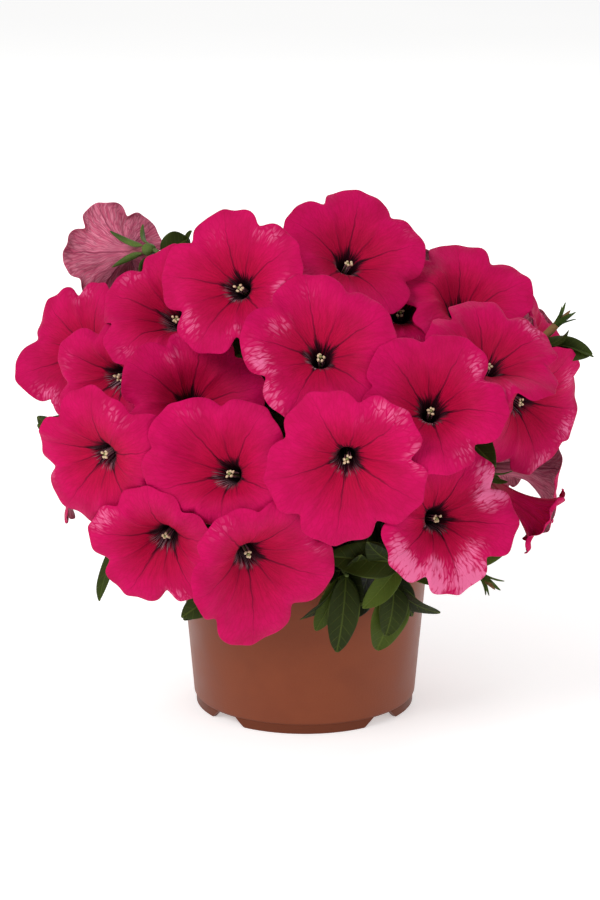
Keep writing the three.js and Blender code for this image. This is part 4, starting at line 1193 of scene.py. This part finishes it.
def add_anther(bm, place, turn, material):
    vertices = bmesh.ops.create_uvsphere(bm, u_segments=10, v_segments=7, radius=1.0)["verts"]
    for vertex in vertices:
        crease = 1 - 0.28 * math.exp(-(vertex.co.x / 0.22) ** 2) * max(vertex.co.z, 0)
        x, y, z = vertex.co
        shaped = Vector((x * ANTHER_WIDE, y * ANTHER_LONG, z * ANTHER_WIDE))
        vertex.co = place + turn @ (shaped * crease)
        for face in vertex.link_faces:
            face.material_index = material


def make_stamens(bloom):
    draws = seeded_draws(4000 + 53 * int(bloom.number))
    next(draws)
    bm = bmesh.new()
    for index in range(STAMEN_COUNT):
        turn = 2 * math.pi * (index + 0.6 * next(draws)) / STAMEN_COUNT
        out = (1.0 + 0.9 * next(draws)) * MM
        height = (-0.3 + 2.2 * next(draws)) * MM
        foot = Vector((
            FILAMENT_RING * math.cos(turn), FILAMENT_RING * math.sin(turn), FILAMENT_FLOOR,
        ))
        top = Vector((out * math.cos(turn), out * math.sin(turn), height))
        middle = foot.lerp(top, 0.6) + Vector((0.3 * MM, 0.2 * MM, 0))
        path = [bloom.frame @ point for point in (foot, middle, top)]
        add_tube(bm, path, [radius * MM for radius in FILAMENT_RADII], 6, material=0)
        tilt = Matrix.Rotation(3 * next(draws), 3, "Z") @ Matrix.Rotation(0.8 * next(draws), 3, "X")
        add_anther(bm, bloom.frame @ top, bloom.frame.to_3x3() @ tilt, 1)
    pistil = [bloom.frame @ Vector((0, 0, height * MM)) for _, height in PISTIL]
    add_tube(bm, pistil, [radius * MM for radius, _ in PISTIL], 8, material=2)
    materials = [filament_material, anther_material, stigma_material]
    return finish_mesh("stamens_" + bloom.number, bm, materials, "petals")


stamens = [make_stamens(bloom) for bloom in blooms]
print("stamen clusters:", len(stamens))

# %% [markdown]
# ## The stems
# Twelve stems leave the soil. Each is one row: its name, its foot and its crown, and its side
# shoots, each with the point where it ends, its leaves (tip and width) and its buds. Lengths are
# in metres again.

# %% List the stems
STEM_ROWS = [
    # name, foot, crown, shoots: (end, leaves as tip and width, buds)
    ("front", (0.004, -0.032), (0.005, -0.042, 0.134), [
        ((0.020, -0.079, 0.088), [(0.015, -0.081, 0.051, 0.013), (0.005, -0.076, 0.060, 0.009)], []),
    ]),
    ("right_of_front", (0.021, -0.026), (0.025, -0.035, 0.132), [
        ((0.046, -0.082, 0.094), [
            (0.010, -0.086, 0.100, 0.015), (0.027, -0.085, 0.074, 0.010), (0.067, -0.082, 0.085, 0.011),
        ], []),
        ((0.043, -0.074, 0.082), [(0.038, -0.078, 0.058, 0.013), (0.034, -0.072, 0.049, 0.016)], []),
    ]),
    ("front_right", (0.030, -0.012), (0.036, -0.024, 0.134), [
        ((0.076, -0.076, 0.096), [(0.094, -0.086, 0.103, 0.009)], [(0.089, -0.088, 0.084)]),
    ]),
    ("right", (0.033, 0.005), (0.042, 0.0, 0.136), [
        ((0.112, -0.032, 0.188), [
            (0.137, -0.038, 0.184, 0.011), (0.124, -0.044, 0.197, 0.006),
        ], [(0.126, -0.034, 0.206)]),
    ]),
    ("right_of_back", (0.027, 0.021), (0.034, 0.022, 0.134), []),
    ("back_right", (0.013, 0.031), (0.016, 0.038, 0.132), []),
    ("back", (-0.005, 0.033), (-0.006, 0.042, 0.130), []),
    ("back_left", (-0.022, 0.026), (-0.028, 0.032, 0.132), []),
    ("left", (-0.032, 0.009), (-0.040, 0.010, 0.134), [
        ((-0.056, -0.010, 0.218), [(-0.054, -0.014, 0.240, 0.012)], [(-0.061, -0.010, 0.234)]),
    ]),
    ("front_left", (-0.031, -0.009), (-0.038, -0.020, 0.134), [
        ((-0.102, -0.040, 0.146), [(-0.127, -0.044, 0.156, 0.017)], []),
    ]),
    ("left_of_front", (-0.015, -0.027), (-0.018, -0.038, 0.130), [
        ((-0.084, -0.070, 0.104), [(-0.096, -0.086, 0.078, 0.009)], []),
        ((-0.034, -0.077, 0.084), [
            (-0.057, -0.081, 0.067, 0.011), (-0.008, -0.080, 0.066, 0.010),
        ], []),
    ]),
    ("top", (0.0, 0.0), (0.002, -0.004, 0.150), [((0.052, -0.034, 0.186), [], [(0.058, -0.042, 0.204)])]),
]
print("stems:", len(STEM_ROWS))

# %% [markdown]
# ## How the plant grows
# A stalk finds its own way from its stem to its flower: it starts somewhere up the stem, arches,
# and comes in from behind the flower. The way is a Bezier curve whose handles are drawn by
# chance, and a draw is kept when it runs clear of everything that grew before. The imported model
# made that choice, so here the same draws are made again, and the one that lies inside the
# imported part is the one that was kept. Leaves are found in the same way, by their tips. The
# leaves of the side shoots show at the edge of the mound, so they are made a quarter fuller.

# %% Repeat the draws
STALK_TRIES = 60
LEAF_TRIES = 24
STALK_STEPS = 3
MOUND_MIDDLE = Vector((0, 0, 0.130))
MOUND_RADIUS = 0.130
STALK_LEAF_SHARES = (0.5, 0.8)
TUFT_SHARE = 0.96
CALYX_DEPTH = 31.35 * MM
ARC_STEPS = 200
TEST_SHARES = [0.2 + 0.06 * step for step in range(13)]
LEAF_FULLER = 1.25
LOWEST_END = 0.112  # metres: an end this high leaves its stem as low as it can
CLIMB = 0.05  # an end this much higher leaves it at the top
FIRST_SPAN = (0.15, 0.95)  # shares of the stem where the first try starts, then any try
WIDEST_SPAN = (0.05, 0.98)
# A pair below is a least value and what a draw or a later try adds to it, in millimetres.
PULL = (8, 14)
LIFT = (4, 12)
STRAY = (4, 26)
STRAY_AT_END = 12
HELD_SHARE = 0.75  # of the tested points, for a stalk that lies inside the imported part
BLADE_LENGTH = (26, 14)
PACKED_BLADE = 0.8 * MM  # how thick a packed leaf is
LEAF_STRAY = 10


def clamp(value, low, high):
    return max(low, min(high, value))


def draw_vector(draws, size):
    return 2 * size * Vector([next(draws) - 0.5 for _ in range(3)])


def bezier(points, share):
    while len(points) > 1:
        points = [first.lerp(second, share) for first, second in zip(points, points[1:])]
    return points[0]


def even_points(points, count):
    fine = [bezier(points, step / ARC_STEPS) for step in range(ARC_STEPS + 1)]
    lengths = [0.0]
    for first, second in zip(fine, fine[1:]):
        lengths.append(lengths[-1] + (second - first).length)
    found = []
    for index in range(count + 1):
        target = lengths[-1] * index / count
        step = max(1, next(i for i, length in enumerate(lengths) if length >= target - 1e-12))
        part = (target - lengths[step - 1]) / (lengths[step] - lengths[step - 1])
        found.append(bezier(points, clamp((step - 1 + part) / ARC_STEPS, 0, 1)))
    return found


def on_stalk(path, share):
    place = share * STALK_STEPS
    step = int(place)
    return path[step].lerp(path[step + 1], place - step)


class PackedPart:
    def __init__(self, name):
        bm = bmesh.new()
        bm.from_mesh(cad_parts[name].data)
        bmesh.ops.remove_doubles(bm, verts=bm.verts, dist=1e-6)
        self.tree = BVHTree.FromBMesh(bm)
        self.corners = KDTree(len(bm.verts))
        for index, vertex in enumerate(bm.verts):
            self.corners.insert(vertex.co, index)
        self.corners.balance()
        bm.free()

    def holds(self, point):
        place, normal, _, distance = self.tree.find_nearest(point)
        return distance > 0.5 * MM and (point - place).dot(normal) < 0

    def has_corner(self, point):
        return self.corners.find(point)[2] < 0.25 * MM


def grow_stalk(part, core, end, direction, draws):
    low = clamp((end.z - LOWEST_END) / CLIMB, *FIRST_SPAN)
    for attempt in range(STALK_TRIES):
        share = attempt / STALK_TRIES
        start = bezier(core, clamp(low + share * (next(draws) - 0.5), *WIDEST_SPAN))
        pull = (PULL[0] + PULL[1] * next(draws)) * MM
        lift = Vector((0, 0, (LIFT[0] + LIFT[1] * next(draws)) * MM))
        lift += draw_vector(draws, (STRAY[0] + STRAY[1] * share) * MM)
        near_end = end - direction * pull + draw_vector(draws, STRAY_AT_END * share * MM)
        curve = [start, start.lerp(end, 0.25) + lift, near_end, end]
        path = even_points(curve, STALK_STEPS)
        held = sum(part.holds(on_stalk(path, place)) for place in TEST_SHARES)
        if held >= HELD_SHARE * len(TEST_SHARES):
            return curve, path
    raise ValueError("no stalk fits inside the packed part")


def leaf_frame(base, tip, hint):
    along = (tip - base).normalized()
    across = along.cross(hint).normalized()
    return Matrix((across, along, across.cross(along))).transposed()


def leaf_is_packed(part, base, tip, hint):
    under = tip - leaf_frame(base, tip, hint).col[2] * PACKED_BLADE
    return part.has_corner(tip) and part.has_corner(under)


def blade_length(draws):
    return (BLADE_LENGTH[0] + BLADE_LENGTH[1] * next(draws)) * MM


def grow_stalk_leaf(part, base, draws):
    for _ in range(LEAF_TRIES):
        direction = (base - MOUND_MIDDLE).normalized() + draw_vector(draws, 0.9)
        length = blade_length(draws)
        tip = base + direction.normalized() * length - MOUND_MIDDLE
        tip = MOUND_MIDDLE + tip * min(1.0, MOUND_RADIUS / tip.length)
        hint = Vector((0, 0, 1)) + draw_vector(draws, 0.6)
        if leaf_is_packed(part, base, tip, hint):
            return base, tip, hint, 0.5 * length
    raise ValueError("no stalk leaf fits the packed part")


def grow_leaf(part, base, aim, width, draws):
    for attempt in range(LEAF_TRIES):
        share = attempt / LEAF_TRIES
        tip = aim + draw_vector(draws, LEAF_STRAY * share * MM)
        hint = Vector((tip.x, tip.y, 0.030)).normalized() + draw_vector(draws, share)
        if leaf_is_packed(part, base, tip, hint):
            return base, tip, hint, LEAF_FULLER * width
    raise ValueError("no leaf fits the packed part")


print("points tested on a stalk:", len(TEST_SHARES))

# %% [markdown]
# A stem's growth is then a list of what it carries: curves for the stalks, and a base, a tip, a
# direction for its upper face and a width for each leaf.

# %% Grow every stem
SOIL_LEVEL = 82 * MM
STRAIGHT_RISE = 11 * MM  # a stem rises this far before it bends


class Growth:
    def __init__(self, index, row):
        self.name, foot, crown, shoots = row
        self.node = "leafy_stem_" + self.name
        draws = seeded_draws(500 + 91 * index)
        part = PackedPart(self.node)
        start = Vector((*foot, SOIL_LEVEL + STRAIGHT_RISE))
        crown = Vector(crown)
        self.core = [start, Vector((*foot, (start.z + crown.z) / 2)), crown]
        self.stalks, self.leaves, self.buds = [], [], []
        self.blooms = [bloom for bloom in blooms if bloom.stem == self.name]
        for bloom in self.blooms:
            end = bloom.frame @ Vector((0, 0, -CALYX_DEPTH))
            curve, path = grow_stalk(part, self.core, end, bloom.out, draws)
            self.stalks.append(curve)
            for share in STALK_LEAF_SHARES:
                self.leaves.append(grow_stalk_leaf(part, on_stalk(path, share), draws))
        for end, leaves, buds in shoots:
            end = Vector(end)
            outward = Vector((end.x, end.y, 0)).normalized()
            curve, path = grow_stalk(part, self.core, end, outward, draws)
            self.stalks.append(curve)
            tuft = on_stalk(path, TUFT_SHARE)
            for *aim, width in leaves:
                self.leaves.append(grow_leaf(part, tuft, Vector(aim), width, draws))
            self.buds += [(tuft, Vector(tip)) for tip in buds]


growths = [Growth(index, row) for index, row in enumerate(STEM_ROWS)]
print("stalks:", sum(len(growth.stalks) for growth in growths))
print("leaves:", sum(len(growth.leaves) for growth in growths))

# %% [markdown]
# ## A leaf
# A petunia leaf is a soft oval with a plain edge, folded a little along its midrib, curled along
# its length and gently waved. It starts as a flat grid whose points are moved in to the oval, and
# the solidify operator gives it the thickness of a real leaf. An attribute tells the material
# where on the blade it is, so the veins follow the leaf.

# %% Shape a leaf
LEAF_DETAIL = (6, 12)
SMALL_DETAIL = (4, 7)
LEAF_THICKNESS = 0.4 * MM
LEAF_FOLD = 0.2
LEAF_CURL = 0.12
LEAF_HALF = 0.47


def blade_half(share):
    return math.sin(math.pi * share ** 0.85) ** 0.6 if 0 < share < 1 else 0.0


def add_leaf(bm, layer, base, tip, hint, width, seed, material=0, fold=LEAF_FOLD, detail=LEAF_DETAIL):
    turn = leaf_frame(base, tip, hint)
    length = (tip - base).length
    columns, rows = detail
    grid = bmesh.ops.create_grid(bm, x_segments=columns, y_segments=rows, size=1.0)["verts"]
    for vertex in grid:
        side, share = vertex.co.x, (vertex.co.y + 1) / 2
        half = LEAF_HALF * width * max(blade_half(share), 0.04)
        height = fold * half * abs(side) ** 1.3 + LEAF_CURL * length * 4 * share * (1 - share)
        wave = 0.05 * width * side ** 2 * math.sin(9 * share + 4 * side + 20 * seed)
        valley = -0.02 * width * math.exp(-(side / 0.12) ** 2)
        vertex[layer] = (side * blade_half(share), share, seed)
        vertex.co = base + turn @ Vector((side * half, share * length, height + wave + valley))
    faces = list({face for vertex in grid for face in vertex.link_faces})
    for face in faces:
        face.material_index = material
    bmesh.ops.recalc_face_normals(bm, faces=faces)
    if sum(face.normal.dot(turn.col[2]) for face in faces) < 0:
        bmesh.ops.reverse_faces(bm, faces=faces)
    bmesh.ops.solidify(bm, geom=faces, thickness=LEAF_THICKNESS)
    everything = connected(grid)
    closed = list({face for vertex in everything for face in vertex.link_faces})
    bmesh.ops.recalc_face_normals(bm, faces=closed)


print("half width of a blade at its middle:", round(blade_half(0.5), 2))

# %% [markdown]
# ## Calyx and buds
# Behind each flower the tube stands in a calyx: a small ribbed cup with five narrow sepals that
# stand away from the tube. A bud is the same thing before it opens: a rolled, pointed body held
# by five sepals. Both are made from the two helpers that exist by now, a tube for the cup and the
# body, and a narrow leaf for each sepal. The flower that is seen from behind has longer sepals,
# because they show there against its back.

# %% Make the calyx and the bud
SEPAL_COUNT = 5
SEPAL_WIDTH = 3.4 * MM
CUP = [(1.5, -33.5), (2.4, -31.5), (3.1, -29.0), (3.3, -27.3), (3.2, -25.2)]
SEPAL_TIP = (11.6, -13.5)
LONG_SEPALS = {"bloom_01": (16.0, -10.5)}


def add_sepals(bm, layer, frame_at, roll, foot, tip, seed):
    for index in range(SEPAL_COUNT):
        turn = math.radians(roll + LOBE_TURN * (index + 0.5))
        way = Vector((math.cos(turn), math.sin(turn), 0))
        stray = 0.7 * math.sin(5 * seed + 2.3 * index)
        start = way * foot[0] * MM + Vector((0, 0, foot[1] * MM))
        end = way * (tip[0] - 1 + stray) * MM + Vector((0, 0, (tip[1] - 0.6 + stray) * MM))
        points = [frame_at @ start, frame_at @ end]
        inward = frame_at.to_3x3() @ (Vector((0, 0, 1)) - way)
        add_leaf(bm, layer, *points, inward, SEPAL_WIDTH, seed, material=2, fold=0.5, detail=SMALL_DETAIL)


def add_calyx(bm, layer, bloom):
    path = [bloom.frame @ Vector((0, 0, height * MM)) for _, height in CUP]
    add_tube(bm, path, [radius * MM for radius, _ in CUP], 10, material=2)
    tip = LONG_SEPALS.get(bloom.name, SEPAL_TIP)
    add_sepals(bm, layer, bloom.frame, bloom.roll, (2.9, -26.5), tip, bloom.draws[0])


def add_bud(bm, layer, base, tip):
    frame_at = square_frame(tip - base).to_4x4()
    frame_at.translation = base
    length = (tip - base).length / MM
    body = [(1.2, 0.5), (2.1, 0.2 * length), (2.3, 0.45 * length), (1.6, 0.72 * length), (0.4, length)]
    path = [frame_at @ Vector((0, 0, height * MM)) for _, height in body]
    add_tube(bm, path, [radius * MM for radius, _ in body], 8, material=3)
    add_sepals(bm, layer, frame_at, 0, (1.6, 1.0), (6.5, length), 0.4)


print("cup of a calyx:", round(CUP[-1][1] - CUP[0][1], 1), "mm high")

# %% [markdown]
# ## The green's finishes
# Leaves are a soft, slightly downy green, lighter along the midrib, with side veins that leave it
# at a slant and a faint pale edge. The leaves inside the mound get the darkest tone, a painted
# shade for the depth of the mound. Stems and calyces share the grain but are paler and have no
# veins, and the buds are brown.

# %% Finish the green
LEAF_LIGHT = colour(74, 90, 22)
LEAF_GREEN = colour(50, 62, 14)
LEAF_DARK = colour(27, 34, 9)
LEAF_RIB = colour(92, 106, 40)


def finish_leaf(tree, shader):
    blade = add_node(tree, "Attribute", attribute_name="blade").outputs["Vector"]
    side, share, seed = add_node(tree, "SeparateXYZ", {0: blade}).outputs[:3]
    off_rib = add_math(tree, "ABSOLUTE", side)
    fine, slow = add_grain(tree, 1100.0)
    tone = add_math(tree, "MULTIPLY", seed, 0.8)
    tone = add_math(tree, "ADD", tone, add_math(tree, "MULTIPLY", slow, 0.4))
    ground = mix_colours(tree, add_ramp(tree, tone, 0.1, 0.6), LEAF_DARK, LEAF_GREEN)
    ground = mix_colours(tree, add_ramp(tree, tone, 0.6, 1.1), ground, LEAF_LIGHT)
    rib = add_ramp(tree, off_rib, 0.02, 0.085, 1.0, 0.0)
    slant = add_math(tree, "SUBTRACT", share, add_math(tree, "MULTIPLY", off_rib, 0.22))
    wave = add_math(tree, "SINE", add_math(tree, "MULTIPLY", slant, 44.0))
    side_vein = add_ramp(tree, wave, 0.86, 1.0)
    side_vein = add_math(tree, "MULTIPLY", side_vein, add_ramp(tree, off_rib, 0.9, 0.3, 0.1, 0.5))
    veins = add_math(tree, "MAXIMUM", rib, side_vein)
    edge = add_ramp(tree, off_rib, 0.93, 0.99, 0.0, 0.35)
    ground = mix_colours(tree, add_math(tree, "MULTIPLY", veins, 0.4), ground, LEAF_RIB)
    ground = mix_colours(tree, edge, ground, LEAF_RIB)
    tree.links.new(ground, shader.inputs["Base Color"])
    rough = add_ramp(tree, fine, 0.3, 0.7, 0.48, 0.62)
    tree.links.new(rough, shader.inputs["Roughness"])
    relief = add_math(tree, "SUBTRACT", add_math(tree, "MULTIPLY", fine, 0.4), veins)
    add_bump(tree, shader, relief, 0.6, 0.0004)


leaf_material, leaf_tree, leaf_shader = new_material(
    "downy leaf", Specular_IOR_Level=0.12, Sheen_Weight=0.01,
)
finish_leaf(leaf_tree, leaf_shader)


def green_skin(name, dark, light, scale, roughness):
    material, tree, shader = new_material(name, Roughness=roughness, Specular_IOR_Level=0.15)
    fine, slow = add_grain(tree, scale)
    blend = add_math(tree, "MULTIPLY", slow, 0.7)
    blend = add_math(tree, "ADD", blend, add_math(tree, "MULTIPLY", fine, 0.3))
    base = mix_colours(tree, add_ramp(tree, blend, 0.3, 0.7), dark, light)
    tree.links.new(base, shader.inputs["Base Color"])
    add_bump(tree, shader, fine, 0.5, 0.0003)
    return material


stem_material = green_skin("downy stem", colour(70, 88, 44), colour(112, 126, 70), 1300.0, 0.6)
sepal_material = green_skin("sepal green", colour(48, 68, 24), colour(88, 110, 46), 1400.0, 0.55)
bud_material = green_skin("old bud", colour(96, 58, 40), colour(138, 104, 66), 900.0, 0.7)
print("leaf nodes:", len(leaf_tree.nodes))

# %% [markdown]
# ## Leaves inside the mound
# A full mound shows no daylight between its flowers, because old leaves fill it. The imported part
# holds fewer, so more are tried here along each stalk and twice along the stem. A leaf is kept
# when its tip lies inside the mound, and eight points of its blade are clear of the petals and
# the pot. Such leaves are seen only as dark shapes, so they get the coarser grid.

# %% Grow leaves inside
INNER_SHARES = (0.2, 0.34, 0.48, 0.6, 0.72, 0.84)
INNER_TRIES = 14
CORE_TURNS = 2
INNER_CLEAR = 1.3 * MM
INNER_FOLD = 0.1
INNER_WIDTH = 0.55
INNER_REACH = 0.12  # metres from the middle of the mound
POT_KEEP_RADIUS = 0.07
POT_KEEP_HEIGHT = 0.1
INNER_TEST = [  # places on the blade: across, as a share of its width, and along
    (0, 0.3), (0, 0.55), (0, 0.8), (0, 1),
    (-0.45, 0.35), (0.45, 0.35), (-0.45, 0.65), (0.45, 0.65),
]


def stays_inside(base, tip, hint, width):
    turn = leaf_frame(base, tip, hint)
    length = (tip - base).length
    for side, share in INNER_TEST:
        arch = 4 * LEAF_CURL * length * share * (1 - share)
        place = base + turn @ Vector((side * width, share * length, arch))
        if place.z < POT_KEEP_HEIGHT and math.hypot(place.x, place.y) < POT_KEEP_RADIUS:
            return False
        if any(tree.find_nearest(place, INNER_CLEAR)[0] for _, tree in laid):
            return False
    return True


def grow_inner_leaves(growth, draws):
    found = []
    for curve in growth.stalks + [growth.core] * CORE_TURNS:
        for share in INNER_SHARES:
            base = bezier(curve, share)
            outward = (base - MOUND_MIDDLE).normalized()
            for _ in range(INNER_TRIES):
                way = 0.5 * outward + draw_vector(draws, 1.0)
                length = blade_length(draws)
                tip = base + way.normalized() * length
                hint = outward + draw_vector(draws, 0.8)
                width = INNER_WIDTH * length
                near = (tip - MOUND_MIDDLE).length < INNER_REACH
                if near and stays_inside(base, tip, hint, width):
                    found.append((base, tip, hint, width))
                    break
    return found


print("places tried for inner leaves on a stalk:", len(INNER_SHARES))

# %% [markdown]
# ## Leaves that face the front
# A few leaves are seen flat on, at the edge of the mound or deep in a gap between flowers. Each is
# placed one by one: its tip is given, it grows from the nearest place on its stem's stalks, and its
# upper face looks forward. Chance would turn many of them edge on.

# %% Place the leaves that face the front
FACING = Vector((0, -1, 0.35))
FACING_STEPS = 20
FACING_FIRST = 8  # none of them grows from the lower part of a stalk
FACING_SEED = 0.3
FACING_LEAVES = {
    # stem: (tip, width) of leaves that turn their upper face to the front
    "left": [((-0.055, -0.012, 0.236), 0.015)],
    "right": [((0.1365, -0.036, 0.185), 0.013)],
    "front_left": [((-0.127, -0.044, 0.152), 0.016), ((-0.022, -0.034, 0.196), 0.020)],
    "left_of_front": [((-0.058, -0.083, 0.069), 0.015)],
    "front": [((-0.023, -0.060, 0.150), 0.020), ((-0.030, -0.054, 0.180), 0.020)],
}


def facing_leaf(growth, tip):
    tip = Vector(tip)
    steps = range(FACING_FIRST, FACING_STEPS + 1)
    places = [bezier(curve, step / FACING_STEPS) for curve in growth.stalks for step in steps]
    return min(places, key=lambda place: (place - tip).length), tip


print("leaves that face the front:", sum(len(row) for row in FACING_LEAVES.values()))

# %% [markdown]
# ## Put the green together
# The stem, its stalks, leaves, calyces and buds grew as one, so they become one piece for each
# stem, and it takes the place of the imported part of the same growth. Separate objects would be
# easier to move about, but nothing here moves.

# %% Make the green growth
STEM_FOOT = 57 * MM
STEM_RADIUS = 2.5 * MM
STEM_TAPER = 0.2
STALK_FOOT = 1.55 * MM
STALK_TOP = 1.15 * MM
CORE_STEPS = 8
CURVE_STEPS = 12
SEED_STEP = 0.618  # neighbours in the list of leaves get tones far apart


def make_growth(growth):
    bm = bmesh.new()
    layer = bm.verts.layers.float_vector.new("blade")
    foot = Vector((growth.core[0].x, growth.core[0].y, STEM_FOOT))
    steps = range(1, CORE_STEPS + 1)
    core = [foot, growth.core[0]] + [bezier(growth.core, step / CORE_STEPS) for step in steps]
    radii = [STEM_RADIUS] * 2
    radii += [STEM_RADIUS * (1 - STEM_TAPER * step / CORE_STEPS) for step in steps]
    add_tube(bm, core, radii, 10, material=1)
    steps = range(CURVE_STEPS + 1)
    for curve in growth.stalks:
        path = [bezier(curve, step / CURVE_STEPS) for step in steps]
        radii = [STALK_FOOT + (STALK_TOP - STALK_FOOT) * step / CURVE_STEPS for step in steps]
        add_tube(bm, path, radii, 7, material=1)
    for number, (base, tip, hint, width) in enumerate(growth.leaves):
        seed = (number * SEED_STEP + 0.13 * len(growth.name)) % 1
        add_leaf(bm, layer, base, tip, hint, width, seed)
    inner_draws = seeded_draws(900 + 31 * len(growth.leaves))
    for base, tip, hint, width in grow_inner_leaves(growth, inner_draws):
        # the inner leaves get seed 0, the darkest leaf tone: a painted shade for the inside of the mound
        add_leaf(bm, layer, base, tip, hint, width, 0.0, fold=INNER_FOLD, detail=SMALL_DETAIL)
    for place, width in FACING_LEAVES.get(growth.name, []):
        base, tip = facing_leaf(growth, place)
        add_leaf(bm, layer, base, tip, FACING, width, FACING_SEED)
    for bloom in growth.blooms:
        add_calyx(bm, layer, bloom)
    for base, tip in growth.buds:
        add_bud(bm, layer, base, tip)
    materials = [leaf_material, stem_material, sepal_material, bud_material]
    piece = finish_mesh("growth_" + growth.name, bm, materials, "leaves_and_stems")
    add_subdivision(piece, 1)
    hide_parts(growth.node)
    return piece


greens = [make_growth(growth) for growth in growths]
print("green pieces:", len(greens))
